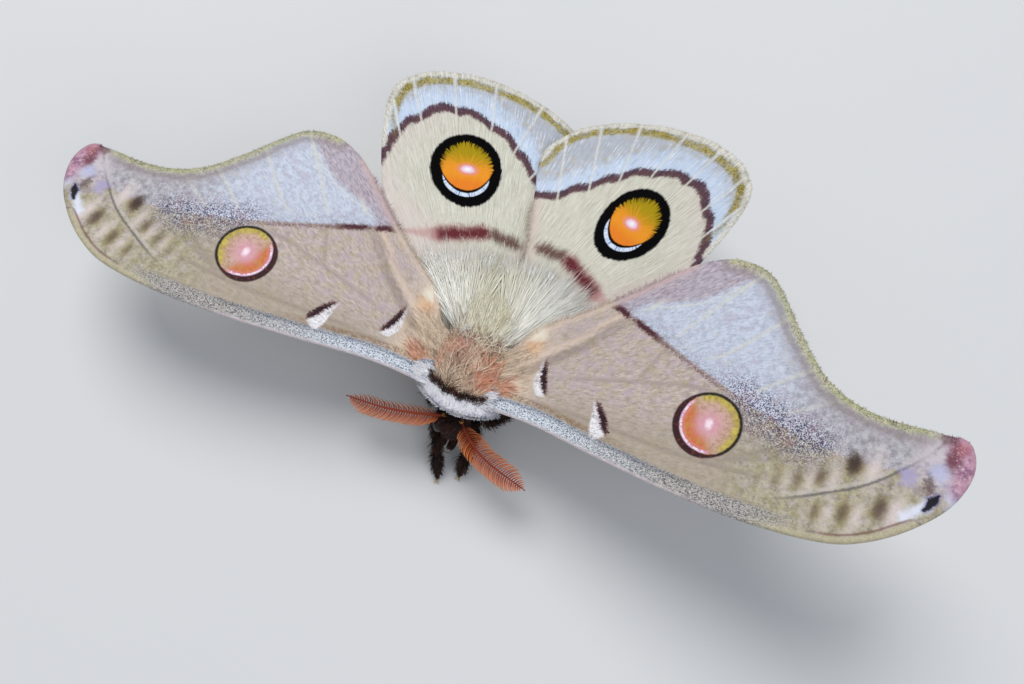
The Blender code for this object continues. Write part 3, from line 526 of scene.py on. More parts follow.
def fore_eyespot(look, colour, du, dv):
    """The forewing's eyespot: a dark ring, maroon towards the base, round pink, orange and yellow."""
    r = (du * du + dv * dv).sqrt() / FORE_EYE_RADIUS
    toward = (du * -0.86 + dv * -0.5) / FORE_EYE_RADIUS
    spin = dv.calc("ARCTAN2", du)
    beads = look.noise(look.join(spin * 7.0, r * 2.0, 1.0), 1.0, 3.0, 0.7)
    haze = look.noise(look.join(du, dv, 4.0), 1.6, 4.0, 0.75)
    disc = look.mix((176, 138, 112), (212, 178, 168), haze.ramp(0.35, 0.62))
    disc = look.mix(disc, (206, 152, 156), haze.ramp(0.56, 0.66) * 0.6)
    orange = (toward + haze.sway(0.6)).ramp(0.02, 0.36) * r.ramp(0.14, 0.42)
    disc = look.mix(disc, look.mix((206, 104, 44), (198, 134, 70), haze.ramp(0.4, 0.62)), orange * 0.95)
    yellow = (r + beads.sway(0.22)).ramp(0.58, 0.86) * (toward + haze.sway(0.3)).ramp(0.16, -0.25)
    disc = disc.under(
        (look.mix((160, 142, 58), (204, 186, 78), beads.ramp(0.35, 0.65)), yellow * 0.92),
        ((224, 158, 180), (r + haze.sway(0.4)).ramp(0.62, 0.06) * 0.85),
        ((216, 130, 128), r.band(0.74, 0.03, 0.08) * toward.ramp(0.2, 0.4) * 0.6))
    pale = (r - 0.83 + toward.ramp(0.2, 0.9) * 0.035 + beads.sway(0.05)).band(0.0, 0.03, 0.035)
    disc = look.mix(disc, look.mix((214, 166, 204), (250, 234, 248), beads.ramp(0.4, 0.58)),
                    pale * toward.ramp(0.1, 0.36))
    near = ((du - 0.1) * (du - 0.1) * 1.3 + (dv - 0.1) * (dv - 0.1) * 0.6).sqrt() + haze.sway(0.9)
    disc = look.mix(disc, (254, 242, 252), near.ramp(0.85, 0.15) * 0.85)
    ring = 0.905 - toward.ramp(0.0, 0.8) * 0.075
    maroon = look.mix((48, 12, 20), (112, 54, 48), beads.ramp(0.5, 0.72))
    edge = look.mix((26, 22, 16), maroon, toward.ramp(-0.3, 0.3))
    disc = look.mix(disc, edge, (r + beads.sway(0.12) - ring).ramp(-0.03, 0.03))
    outer = 1.0 + toward.ramp(0.0, 0.8) * 0.04 + beads.sway(0.04)
    return look.mix(colour, disc, (r - outer).ramp(0.03, -0.03))


def apex_marks(look, colour, u, v, pink, rough, fine):
    """The forewing's outer corner: rose and lavender, a brown and a violet spot, and a small black one."""
    pale = look.mix((158, 146, 158), (212, 202, 210), rough.ramp(0.35, 0.62))
    zone = round_spot(u, v, (59.9, 4.4), (3.2, 4.0)) + rough.sway(1.2)
    colour = look.mix(colour, pale, zone.ramp(1.5, 0.5) * 0.8)
    for middle, half, tint, much in (
            ((60.4, 3.8), (1.5, 1.3), (186, 190, 226), 0.8),
            ((56.8, 2.4), (1.3, 1.0), (170, 162, 206), 0.75),
            ((61.9, 1.2), (0.8, 1.6), (206, 206, 234), 0.7),
            ((59.0, 1.9), (0.75, 1.15), (96, 74, 70), 0.85)):
        spot = round_spot(u, v, middle, half) + rough.sway(2.2) + fine.sway(1.6)
        colour = look.mix(colour, tint, spot.ramp(1.5, 0.35) * much)
    rose = pink + rough.sway(1.8) + fine.sway(0.6)
    rose_tone = look.mix((138, 90, 122), (194, 148, 172), (rough * 0.6 + fine * 0.4).ramp(0.38, 0.6))
    colour = look.mix(colour, rose_tone, rose.ramp(2.3, 0.4) * 0.9)
    deep = round_spot(u, v, (61.2, 6.2), (0.9, 2.3)) + rough.sway(1.6)
    colour = look.mix(colour, (112, 56, 70), deep.ramp(1.5, 0.3) * 0.85)
    rim = (v * 0.35 + u + rough.sway(2.0)).ramp(64.4, 65.8) * rose.ramp(2.0, 0.9)
    colour = colour.under(
        ((208, 152, 182), rim * 0.6),
        ((232, 206, 216), fine.ramp(0.55, 0.68) * pink.ramp(1.4, 0.4) * 0.6))
    brown = round_spot(u, v, (60.2, 8.2), (1.0, 0.9)) + rough.sway(1.4)
    colour = look.mix(colour, (88, 66, 58), brown.ramp(1.5, 0.4) * 0.55)
    warm = round_spot(u, v, (61.9, 7.4), (0.8, 1.2)) + rough.sway(1.6)
    colour = look.mix(colour, (190, 108, 108), warm.ramp(1.4, 0.3) * 0.4)
    white, _ = segment(u, v, (57.2, -2.5), (59.4, -0.4))
    colour = look.mix(colour, (226, 230, 246), (white + rough.sway(1.8)).ramp(1.15, 0.1) * 0.92)
    spot, along = segment(u, v, (59.2, -1.1), (60.5, 1.1))
    taper = abs(along - 0.5) * 0.8 + rough.sway(0.9) + fine.sway(0.5)
    colour = look.mix(colour, (64, 64, 138), (spot + taper).ramp(1.0, 0.4) * 0.7)
    return look.mix(colour, (8, 8, 20), (spot + taper).ramp(0.62, 0.34))


def forewing_look():
    look = Look("forewing_scales", rough=0.62, sheen=0.1, specular=0.22)
    u, v, under = look.read("flat")
    line, margin, costa = look.read("marks")
    vein, hind, tip = look.read("edges")
    smudge, rim, thin = look.read("spots")
    fold, pink, _ = look.read("folds")
    streak, grain, cloud, mottle = wing_texture(look, u, v, 1.0)
    fine = look.noise(look.join(u, v, 2.0), 3.2, 3.0, 0.7)
    patchy = look.noise(look.join(u, v, 8.0), 0.7, 4.0, 0.7)
    line = line + fine.sway(1.1) + streak.sway(0.9)

    inner = look.mix((152, 138, 128), (210, 196, 190), (streak * 0.4 + mottle * 0.6).ramp(0.34, 0.64))
    inner = inner.under(
        ((188, 170, 180), patchy.ramp(0.5, 0.64) * v.ramp(-2.0, 4.0) * 0.7),
        ((184, 168, 136), patchy.ramp(0.48, 0.36) * 0.5),
        ((166, 154, 134), v.ramp(4.0, -2.0) * u.ramp(4.0, 14.0) * 0.6),
        (look.mix((188, 160, 128), (226, 208, 186), streak.ramp(0.3, 0.6)), u.ramp(9.0, 4.5) * 0.8),
        ((206, 142, 116), round_spot(u, v, (2.4, 0.4), (1.7, 1.6)).ramp(1.4, 0.4) * 0.8),
        ((226, 180, 140), round_spot(u, v, (4.4, 7.4), (1.7, 1.3)).ramp(1.6, 0.2) * 0.7),
        ((244, 240, 222), round_spot(u, v, (3.6, 9.6), (2.4, 1.1)).ramp(1.5, 0.4) * 0.9))
    # Along the fold near the base: a band of painted shade on one side of it and a band of painted highlight
    # on the other.
    crease = fold + streak.sway(1.0)
    inner = inner.under(
        ((112, 92, 80), crease.band(-0.8, 0.2, 1.0) * u.ramp(24.0, 10.0) * 0.4),
        ((224, 202, 184), crease.band(0.6, 0.1, 0.8) * u.ramp(3.0, 7.0) * 0.6))
    olive = look.mix((132, 124, 108), (190, 182, 160), (mottle * 0.7 + fine * 0.3).ramp(0.36, 0.62))
    olive = olive.under(
        ((170, 160, 108), patchy.ramp(0.46, 0.66) * (0.3 + fine * 0.4)),
        ((186, 172, 180), patchy.ramp(0.46, 0.34) * 0.6))
    inner = look.mix(inner, olive, (u + cloud.sway(10.0)).ramp(30.0, 42.0))

    outer = look.mix((172, 180, 196), (208, 216, 234), (streak * 0.4 + mottle * 0.6).ramp(0.36, 0.6))
    outer = outer.under(
        ((186, 178, 194), patchy.ramp(0.52, 0.64) * 0.55),
        ((216, 212, 202), patchy.ramp(0.44, 0.32) * 0.5))
    taupe = look.mix((142, 138, 142), (194, 190, 194), mottle.ramp(0.36, 0.62))
    taupe = look.mix(taupe, (160, 140, 160), patchy.ramp(0.54, 0.64) * 0.6)
    outer = look.mix(outer, taupe, (u + patchy.sway(9.0)).ramp(36.0, 47.0) * 0.85)
    shadow = (margin + patchy.sway(3.5)).ramp(3.8, 1.2)
    outer = look.mix(outer, (158, 146, 154), shadow * (0.25 + mottle * 0.5))
    # Past the fold the wing curves away; this is painted shade there, violet and streaked.
    fold_shade = (fold + fine.sway(0.8)).ramp(0.0, 1.0) * u.ramp(37.0, 32.0)
    violet = look.mix((142, 124, 140), (196, 184, 192), (streak * 0.7 + mottle * 0.3).ramp(0.36, 0.62))
    outer = look.mix(outer, violet, fold_shade * (0.55 + cloud * 0.6))
    # A thin painted highlight along the ridge of the fold.
    ridge = (fold + fine.sway(0.4)).band(-0.1, 0.03, 0.24) * u.ramp(17.0, 21.0)
    outer = look.mix(outer, (220, 216, 204), ridge * (0.1 + fine * 0.6))

    colour = look.mix(inner, outer, line.ramp(-0.2, 0.35))
    zone = (u + cloud.sway(6.0)).ramp(29.0, 36.0) * u.ramp(51.5, 44.0)
    heap = line + patchy.sway(4.0)
    speck = heap.ramp(5.4, 0.8) * heap.ramp(-5.6, -1.6) * zone
    speck = speck + line.ramp(3.0, 0.3) * line.ramp(-1.2, 0.1) * 0.4
    dark = look.mix((70, 64, 96), (104, 72, 92), patchy.ramp(0.46, 0.6))
    colour = look.mix(colour, dark, speck * (grain * 0.6 + fine * 0.4).ramp(0.42, 0.66) * 0.85)
    salted = heap.ramp(6.0, 2.0) * heap.ramp(-4.0, -0.6) * zone * grain.ramp(0.34, 0.14) * 0.6
    colour = look.mix(colour, (214, 218, 238), salted)
    strong = line.band(-0.2, 0.16, 0.62) * u.ramp(25.0, 20.6) * abs(u - 17.7).ramp(0.1, 0.9)
    weak = line.band(-0.2, 0.05, 0.5) * u.ramp(37.0, 29.0) * fine.ramp(0.38, 0.58) * 0.7
    maroon = strong.calc("MAXIMUM", weak) * hind.ramp(0.3, 0.9) * (0.75 + fine * 0.4)
    colour = colour.under(
        (look.mix((116, 62, 66), (70, 30, 42), maroon), maroon * 1.1),
        ((120, 70, 74), round_spot(u, v, (42.5, 3.0), (0.6, 0.6)).ramp(1.4, 0.3) * 0.4),
        ((222, 208, 206), rim * (0.6 + fine * 0.6)))
    soil = look.mix((128, 106, 62), (80, 62, 50), smudge)
    colour = look.mix(colour, soil, (smudge + fine.sway(0.7) * smudge).ramp(0.05, 0.95) * 0.88)
    dark = round_spot(u, v, (50.4, 2.4), (0.9, 1.7)) + fine.sway(1.6) + (mottle - 0.5)
    colour = look.mix(colour, (54, 34, 32), dark.ramp(1.2, 0.3) * 0.75)
    pale_vein = vein.ramp(0.45, 0.05) * line.ramp(0.6, 3.0) * (0.25 + fine * 0.6)
    colour = look.mix(colour, (216, 214, 200), pale_vein * u.ramp(50.0, 40.0) * fold.ramp(1.6, 0.6) * 0.85)
    dusky = vein.ramp(0.5, 0.1) * line.ramp(-0.5, -2.0) * mottle.ramp(0.4, 0.6)
    dusky = dusky * u.ramp(44.0, 38.0) * u.ramp(8.0, 14.0)
    colour = look.mix(colour, (128, 112, 110), dusky * 0.5)
    ends = u.ramp(40.5, 46.5) * u.ramp(62.6, 60.8)
    colour = colour.under(
        ((92, 92, 96), abs(thin + fine.sway(0.4)).ramp(0.27, 0.06) * ends * 0.72),
        ((206, 198, 196), thin.band(0.5, 0.1, 0.25) * ends * 0.4))
    colour = apex_marks(look, colour, u, v, pink, patchy, fine)

    rim_tone = look.mix((112, 112, 72), (206, 202, 166), (grain * 0.4 + mottle * 0.6).ramp(0.3, 0.65))
    rim_tone = look.mix(rim_tone, (168, 180, 110), patchy.ramp(0.48, 0.6) * 0.6)
    edge = margin + fine.sway(1.6) + patchy.sway(1.4)
    colour = colour.under(
        ((134, 122, 116), edge.band(1.5, 0.1, 0.6) * 0.45 * u.ramp(60.0, 57.0)),
        (rim_tone, edge.ramp(1.35, 0.5) * u.ramp(60.5, 57.5) * 0.8),
        ((208, 178, 172), hind.ramp(1.3, 0.2) * 0.6 * line.ramp(0.0, 1.0)),
        ((220, 200, 184), hind.ramp(1.4, 0.2) * 0.55 * line.ramp(1.0, 0.0)))

    flow = look.noise(look.join(u * 2.6, v * 7.5, 3.0), 1.0, 4.0, 0.8)
    salt = look.mix((78, 92, 118), (226, 233, 242), (flow * 0.75 + grain * 0.25).ramp(0.36, 0.56))
    worn = look.mix((84, 82, 86), (192, 188, 184), (flow * 0.75 + grain * 0.25).ramp(0.36, 0.6))
    salt = look.mix(salt, worn, (u + cloud.sway(8.0)).ramp(8.0, 32.0))
    strip = costa + fine.sway(1.1)
    ochre = strip.band(2.9, 0.2, 0.5) * (fine * 0.5 + mottle * 0.5).ramp(0.42, 0.56) * u.ramp(26.0, 16.0)
    colour = colour.under(
        ((126, 94, 62), ochre * 0.75),
        (salt, strip.ramp(2.6, 2.1) * u.ramp(50.0, 38.0)),
        ((58, 66, 88), strip.band(2.05, 0.1, 0.4) * flow.ramp(0.42, 0.55) * u.ramp(36.0, 24.0) * 0.7),
        ((218, 206, 210), costa.ramp(0.5, 0.2) * u.ramp(40.0, 26.0) * 0.8))
    cream = look.mix((160, 150, 122), (206, 198, 172), grain * 0.5 + mottle * 0.5)
    colour = look.mix(colour, cream, costa.ramp(1.0, 0.6) * u.ramp(38.0, 46.0))
    thread = costa.band(1.05, 0.05, 0.2) * u.ramp(46.0, 50.0) * u.ramp(60.0, 57.0)
    colour = look.mix(colour, (118, 80, 76), thread * 0.7)

    colour = base_marks(look, colour, u, v, streak, fine)
    colour = fore_eyespot(look, colour, u - FORE_EYE[0], v - FORE_EYE[1])
    colour = look.mix(colour, (196, 184, 172), under * 0.45)
    # Lighter along the streaks; hair on the wing darker towards its roots as painted shade under the tufts.
    colour = look.shade(colour, 0.93 + streak * 0.14 + tip * 0.08)
    height = streak * 0.7 + mottle * 0.5
    return look.finish(colour, height, 0.00006, rough=0.5 + streak * 0.25)


def hind_eyespot(look, colour, du, dv, streak):
    """The hindwing's eyespot: a black ring with a pale crescent, round orange that turns olive outward."""
    turn = HIND_EYE_TURN
    long = (du * math.cos(turn) + dv * math.sin(turn)) / (HIND_EYE_LONG / HIND_EYE_RADIUS)
    across = dv * math.cos(turn) - du * math.sin(turn)
    du = long * math.cos(turn) - across * math.sin(turn)
    dv = long * math.sin(turn) + across * math.cos(turn)
    r = (du * du + dv * dv).sqrt() / HIND_EYE_RADIUS
    toward = (du * -0.72 + dv * -0.69) / HIND_EYE_RADIUS
    spin = dv.calc("ARCTAN2", du)
    hairs = look.noise(look.join(spin * 16.0, r * 1.2, 2.0), 1.0, 2.0, 0.7)
    tufts = look.noise(look.join(spin * 9.0, r * 2.5, 7.0), 1.0, 3.0, 0.7)
    frayed = r + hairs.sway(0.34) * toward.ramp(0.15, -0.3) + tufts.sway(0.05)
    disc = look.mix((240, 154, 46), (172, 146, 24), (toward + hairs.sway(0.6)).ramp(0.0, -0.5))
    disc = disc.under(
        ((236, 124, 44), toward.ramp(0.1, 0.4) * 0.7),
        ((212, 176, 60), hairs.ramp(0.55, 0.7) * toward.ramp(0.0, -0.3) * 0.6),
        ((74, 64, 14), frayed.ramp(0.58, 0.74) * toward.ramp(0.2, -0.1) * hairs.ramp(0.4, 0.6)))
    across = (du * 0.69 + dv * -0.72) / HIND_EYE_RADIUS
    glow = ((toward + 0.02) * (toward + 0.02) * 1.7 + (across + 0.03) * (across + 0.03) * 0.5).sqrt()
    glow = glow + tufts.sway(0.08)
    disc = disc.under(
        ((236, 148, 144), glow.ramp(0.27, 0.1)),
        ((240, 216, 236), glow.ramp(0.17, 0.08)),
        ((254, 248, 252), glow.ramp(0.09, 0.02)))
    ring = 0.73 - toward.ramp(-0.2, 0.6) * 0.19
    disc = look.mix(disc, (4, 4, 6), (frayed - ring).ramp(-0.02, 0.03))
    thick = toward.ramp(0.15, 0.5) * 0.048
    pale = (abs(r - 0.675 + tufts.sway(0.03)) - thick).ramp(0.018, -0.012) * toward.ramp(0.18, 0.26)
    pale_tone = look.mix((96, 124, 180), (222, 234, 252), hairs.ramp(0.36, 0.52))
    disc = look.mix(disc, pale_tone, pale)
    corner = (spin * 3.0).calc("SINE") * 0.02
    outer = r + corner + streak.sway(0.09) + tufts.sway(0.09)
    return look.mix(colour, disc, outer.ramp(1.02, 0.96))


def hindwing_look():
    look = Look("hindwing_scales", rough=0.7, sheen=0.0, specular=0.04)
    u, v, under = look.read("flat")
    line, margin, costa = look.read("marks")
    vein, hind, tip = look.read("edges")
    streak, grain, _, mottle = wing_texture(look, u, v, 5.0, 0.22)
    fine = look.noise(look.join(u, v, 6.0), 3.0, 3.0, 0.7)
    patchy = look.noise(look.join(u, v, 8.0), 0.7, 4.0, 0.7)

    inner = look.mix((176, 174, 156), (224, 222, 210), (streak * 0.75 + mottle * 0.25).ramp(0.28, 0.62))
    inner = inner.under(
        ((224, 208, 206), (v.ramp(12.0, 4.0) * 0.6 + u.ramp(22.0, 30.0) * 0.3) * (0.5 + mottle)),
        ((178, 174, 140), u.ramp(9.0, 3.0) * streak.ramp(0.5, 0.3) * 0.6),
        ((220, 196, 190), hind.ramp(2.2, 0.4) * streak.ramp(0.3, 0.6) * 0.7))
    outer = look.mix((198, 214, 238), (178, 184, 196), (line + patchy.sway(5.0)).ramp(1.6, 5.0))
    outer = outer.under(
        ((240, 243, 248), (streak * 0.7 + mottle * 0.3).ramp(0.48, 0.66) * 0.8),
        ((150, 154, 166), (streak * 0.5 + mottle * 0.5).ramp(0.46, 0.34) * 0.6),
        ((190, 182, 168), patchy.ramp(0.5, 0.64) * (line + fine).ramp(2.5, 5.0) * 0.6))
    shift = line + vein.ramp(2.2, 0.0) * 0.4 + streak.sway(1.3) + fine.sway(1.0) + patchy.sway(1.2)
    colour = look.mix(inner, outer, shift.ramp(-0.2, 0.5))
    band = (shift - 0.15).band(0.0, 0.42, 0.6) * (vein.ramp(0.05, 0.3) * 0.4 + 0.6) * costa.ramp(0.5, 2.2)
    tone = look.mix((54, 34, 48), (108, 62, 74), (fine * 0.5 + streak * 0.5).ramp(0.42, 0.6))
    colour = look.mix(colour, tone, band * 0.95)

    wave = margin + patchy.sway(1.6) + fine.sway(0.9)
    gold = look.mix((112, 96, 26), (186, 172, 92), (mottle * 0.6 + grain * 0.4).ramp(0.36, 0.62))
    spread = wave.band(1.5, 0.3, 0.6) * (vein.ramp(0.1, 0.6) * 0.8 + 0.2)
    spread = spread * v.ramp(12.0, 15.5) * hind.ramp(1.0, 7.0)
    colour = look.mix(colour, gold, spread * (0.35 + patchy * 1.0))
    fray = look.mix((186, 180, 158), (232, 230, 222), (streak * 0.5 + fine * 0.5).ramp(0.36, 0.6))
    colour = look.mix(colour, fray, wave.ramp(1.0, 0.5) * 0.9)
    pale_vein = vein.ramp(0.34, 0.04) * line.ramp(-4.0, 0.6) * fine.ramp(0.3, 0.62)
    colour = colour.under(
        ((232, 228, 216), pale_vein * 0.8),
        ((232, 222, 216), (costa + (fine - 0.5)).ramp(2.0, 0.5) * 0.75))

    bar, _ = segment(u, v, (12.9, 7.9), (8.9, 13.6))
    soft = bar + streak.sway(1.1) + fine.sway(0.6) + patchy.sway(1.4)
    colour = colour.under(
        ((160, 104, 104), soft.ramp(2.1, 0.5) * 0.8),
        ((100, 36, 46), soft.ramp(1.5, 0.2) * 0.95))
    tail, along = segment(u, v, (13.6, 7.0), (17.0, 3.6))
    tail = tail + streak.sway(1.2) + along * 0.8
    colour = look.mix(colour, (190, 142, 142), tail.ramp(1.5, 0.4) * 0.65)
    faint, _ = segment(u, v, (7.4, 14.8), (4.4, 16.4))
    faint = faint + streak.sway(1.4) + fine.sway(0.6) + patchy.sway(1.4)
    colour = look.mix(colour, (92, 52, 48), faint.ramp(1.8, 0.2) * 0.9)

    colour = hind_eyespot(look, colour, u - HIND_EYE[0], v - HIND_EYE[1], streak)
    colour = look.mix(colour, (206, 198, 188), under * 0.45)
    # Lighter along the streaks; hair on the wing darker towards its roots as painted shade under the tufts.
    colour = look.shade(colour, 0.95 + streak * 0.12 + tip * 0.05)
    height = streak * 0.8 + mottle * 0.4
    return look.finish(colour, height, 0.0001, rough=0.55 + streak * 0.2)


def body_look():
    look = Look("body_fur", rough=0.75, sheen=0.08, specular=0.15)
    x, y, z = look.read("root")
    dark, pale, belly = look.read("zone")
    tone, tip, other = look.read("tone")
    where = look.join(x, y, z)
    fleck = look.noise(where, 1.1, 2.0, 0.7) + other.sway(0.3)
    drift = (look.noise(where, 0.5, 1.0) - 0.5) * 3.0
    wool = look.mix((168, 132, 104), (250, 232, 210), (fleck * 0.55 + tone * 0.45).ramp(0.26, 0.66))
    wool = wool.under(
        ((236, 210, 190), tone.ramp(0.72, 0.9) * 0.7),
        ((116, 88, 62), tone.ramp(0.18, 0.06) * 0.75))
    for place, half, colour in ORANGE_LOCKS:
        dx, dy = x - place[0], y - place[1]
        near = (dx * dx + dy * dy * 0.45).sqrt() + drift * 0.35 + tone.sway(1.9)
        wool = look.mix(wool, colour, near.ramp(half + 1.0, half - 0.6) * 0.88)
    rear = look.mix((212, 202, 152), (250, 247, 230), (fleck + tip * 0.1).ramp(0.28, 0.58))
    rear = look.mix(rear, (250, 250, 248), abs(x - 0.6).ramp(1.2, 3.2) * (0.5 + tip * 0.4))
    wool = wool.under(
        (rear, (y + tone.sway(2.2) + drift * 0.5).ramp(-0.6, 2.2) * z.ramp(9.0, 11.5)),
        ((200, 170, 146), z.ramp(9.5, 6.5) * 0.8))
    black = look.mix((12, 6, 4), (88, 46, 32), (fleck + tip * 0.25).ramp(0.52, 0.95))
    wool = look.mix(wool, black, (y + tone.sway(0.6)).ramp(-4.5, -5.3) * z.ramp(12.9, 12.2))
    white = look.mix((206, 208, 224), (248, 248, 252), fleck.ramp(0.25, 0.55))
    fawn = look.mix((186, 158, 132), (240, 224, 204), (fleck * 0.5 + tone * 0.5).ramp(0.22, 0.7))
    front, tip_y = float(ABDOMEN_FRONT[1]), float(ABDOMEN_TIP[1])
    rings = (y - front) * (math.pi * ABDOMEN_SEGMENTS / (tip_y - front))
    fawn = look.mix(fawn, (146, 112, 88), abs(rings.calc("SINE")).ramp(0.55, 0.05) * 0.55)
    colour = look.mix(wool, fawn, belly)
    # Dark zone: the head's and legs' own dark fur, and also the painted shade line of short hair behind the
    # collar.
    colour = colour.under(
        (black, dark),
        (white, pale))
    # Each lock darker at its root and lighter at its tip: partly the hair's own paler tips, partly painted
    # shade deep in the coat.
    colour = look.shade(colour, 0.9 + tip * 0.22)
    return look.finish(colour, look.noise(where, 9.0, 2.0), 0.00008)


def fan_look():
    look = Look("fan_hair", rough=0.7, sheen=0.1, specular=0.2)
    u, v, _ = look.read("flat")
    tone, tip, other = look.read("tone")
    patch = look.noise(look.join(u, v, 1.0), 0.8, 2.0)
    light = (tone * 0.5 + other * 0.3 + patch * 0.3).ramp(0.2, 0.65)
    colour = look.mix((196, 190, 150), (240, 238, 222), light)
    colour = colour.under(
        ((146, 132, 96), tone.ramp(0.1, 0.03) * 0.7),
        ((206, 172, 150), tip.ramp(0.3, 0.0) * other.ramp(0.5, 0.8) * 0.5),
        ((252, 253, 254), tip.ramp(0.2, 0.75) * (0.6 + tone * 0.4)))
    # Each hair darker towards its root: painted shade inside the fan; the white tips laid on above are the
    # hair's own colour.
    return look.finish(look.shade(colour, 0.94 + tip * 0.14))


def antenna_look():
    look = Look("feeler", rough=0.5, sheen=0.05, specular=0.25)
    along, out, other = look.read("feeler")
    colour = look.mix((142, 54, 24), (212, 122, 66), out.ramp(0.05, 0.9) + other.sway(0.4))
    colour = colour.under(
        ((228, 176, 132), out.ramp(0.82, 1.0) * 0.5),
        ((176, 124, 66), along.ramp(0.05, 0.01)))
    grain = look.noise(look.join(along * 90.0, out * 4.0, other), 1.0)
    return look.finish(look.shade(colour, 0.85 + grain * 0.3), grain, 0.00003)


def mesh_piece(name, points, faces, material, slot, data=None, patches=None, replaces=()):
    """A finished piece from layout points and triangles; data are its attributes, patches its bake map."""
    mesh = bpy.data.meshes.new(name)
    faces = np.asarray(faces, np.int32)
    mesh.vertices.add(len(points))
    mesh.vertices.foreach_set("co", metres(points).astype(np.float32).ravel())
    mesh.loops.add(faces.size)
    mesh.loops.foreach_set("vertex_index", faces.ravel())
    mesh.polygons.add(len(faces))
    mesh.polygons.foreach_set("loop_start", np.arange(0, faces.size, 3, dtype=np.int32))
    mesh.update(calc_edges=True)
    for key, values in (data or {}).items():
        layer = mesh.attributes.new(key, "FLOAT_VECTOR", "POINT")
        layer.data.foreach_set("vector", np.asarray(values, np.float32).ravel())
    if patches is not None:
        layer = mesh.uv_layers.new(name="OFBake")
        layer.data.foreach_set("uv", np.asarray(patches, np.float32).ravel())
    mesh.materials.append(material)
    mesh.polygons.foreach_set("use_smooth", np.ones(len(faces), bool))
    obj = bpy.data.objects.new(name, mesh)
    bpy.context.scene.collection.objects.link(obj)
    if replaces:
        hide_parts(*replaces)
    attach(obj, "root")
    return obj


def ring_faces(rings, sides):
    """Triangles over rings of points, with a pole before the first and one after the last."""
    faces = []
    last = 1 + (rings - 1) * sides
    for i in range(sides):
        nxt = (i + 1) % sides
        faces += [(0, 1 + nxt, 1 + i), (last + i, last + nxt, last + sides)]
        for j in range(rings - 1):
            a = 1 + j * sides
            faces += [(a + i, a + nxt, a + sides + nxt), (a + i, a + sides + nxt, a + sides + i)]
    return np.array(faces)


def tube(path, radii, sides, flat=1.0, up=(0.0, 0.0, 1.0)):
    """Points and triangles of a closed tapered tube along a path."""
    path = np.asarray(path, float)
    radii = np.broadcast_to(radii, (len(path),))
    tangent = unit(np.gradient(path, axis=0))
    side = unit(np.cross(np.asarray(up, float), tangent))
    above = np.cross(tangent, side)
    turn = 2 * np.pi * (np.arange(sides) + 0.5) / sides
    ring = (path[:, None] + side[:, None] * (radii[:, None] * np.cos(turn))[:, :, None]
            + above[:, None] * (radii[:, None] * flat * np.sin(turn))[:, :, None])
    return np.vstack([path[:1], ring.reshape(-1, 3), path[-1:]]), ring_faces(len(path), sides)


def ball(centre, half, rings=24, sides=32):
    """Points and triangles of an egg with its poles along Y."""
    t = np.repeat(np.linspace(-np.pi / 2, np.pi / 2, rings + 2)[1:-1], sides)
    angle = np.tile(-2 * np.pi * np.arange(sides) / sides, rings)
    points = centre + half * np.stack([np.cos(t) * np.sin(angle), np.sin(t), np.cos(t) * np.cos(angle)], 1)
    poles = centre + half * np.array([[0, -1, 0], [0, 1, 0]])
    return np.vstack([poles[:1], points, poles[1:]]), ring_faces(rings, sides)


def joined(shapes):
    """Several shapes' points and triangles as one."""
    counts = np.cumsum([0] + [len(points) for points, _ in shapes])
    faces = [np.asarray(tris) + count for (_, tris), count in zip(shapes, counts)]
    return np.vstack([points for points, _ in shapes]), np.vstack(faces)


def wing_fields(plan, side, flat):
    """What a wing's material reads at flat points: distances to its lines and edges, smudges and folds."""
    line, way = from_curve(flat, plan["line"], 0.4)
    sign = 1 if plan is FORE else -1
    costa, margin, hind = (from_curve(flat, plan[key])[0] for key in ("costa", "margin", "inner"))
    vein = np.full(len(flat), 9.0)
    for path in plan["veins"]:
        vein = np.minimum(vein, from_curve(flat, path, 0.6)[0])
    smudge, rim, thin, fold, pink = np.zeros((5, len(flat)))
    if plan is FORE:
        for u, v, long, wide, dark in SMUDGES:
            turn = math.radians(82 if side == "left" else 100)
            du, dv = flat[:, 0] - u, flat[:, 1] - v
            a = (du * math.cos(turn) + dv * math.sin(turn)) / long
            b = (dv * math.cos(turn) - du * math.sin(turn)) / wide
            smudge = np.maximum(smudge, dark * np.exp(-(a * a + b * b) ** 1.15))
            rim = np.maximum(rim, dark * np.exp(-(a * 0.7) ** 2 - ((b + 1.9) * 1.2) ** 2))
            rim = np.maximum(rim, 0.35 * dark * np.exp(-(a * 0.8) ** 2 - ((b - 1.9) * 1.4) ** 2))
        thin, fold = (np.multiply(*from_curve(flat, knots, 0.4)) for knots in (TIP_LINE, FOLD_LINE))
        pink, _ = from_curve(flat, PINK_LINE, 0.3)
    return line * way * sign, margin, costa, vein, hind, smudge, rim, thin, fold, pink


def wing_data(plan, side, flat):
    """The attributes of points of a wing's top or of the roots of hair on it."""
    line, margin, costa, vein, hind, smudge, rim, thin, fold, pink = wing_fields(plan, side, flat)
    none = np.zeros(len(flat))
    return {
        "flat": np.stack([flat[:, 0], flat[:, 1], none], 1),
        "marks": np.stack([line, margin, costa], 1),
        "edges": np.stack([vein, hind, none], 1),
        "spots": np.stack([smudge, rim, thin], 1),
        "folds": np.stack([fold, pink, none], 1),
    }


def wing_patch(flat, half=0.0):
    """Where flat points go on the wing's bake map: the top in one half, the underside in the other."""
    return np.stack([(flat[:, 0] + 4) / 74, (flat[:, 1] + 10) / 100 + half], 1)


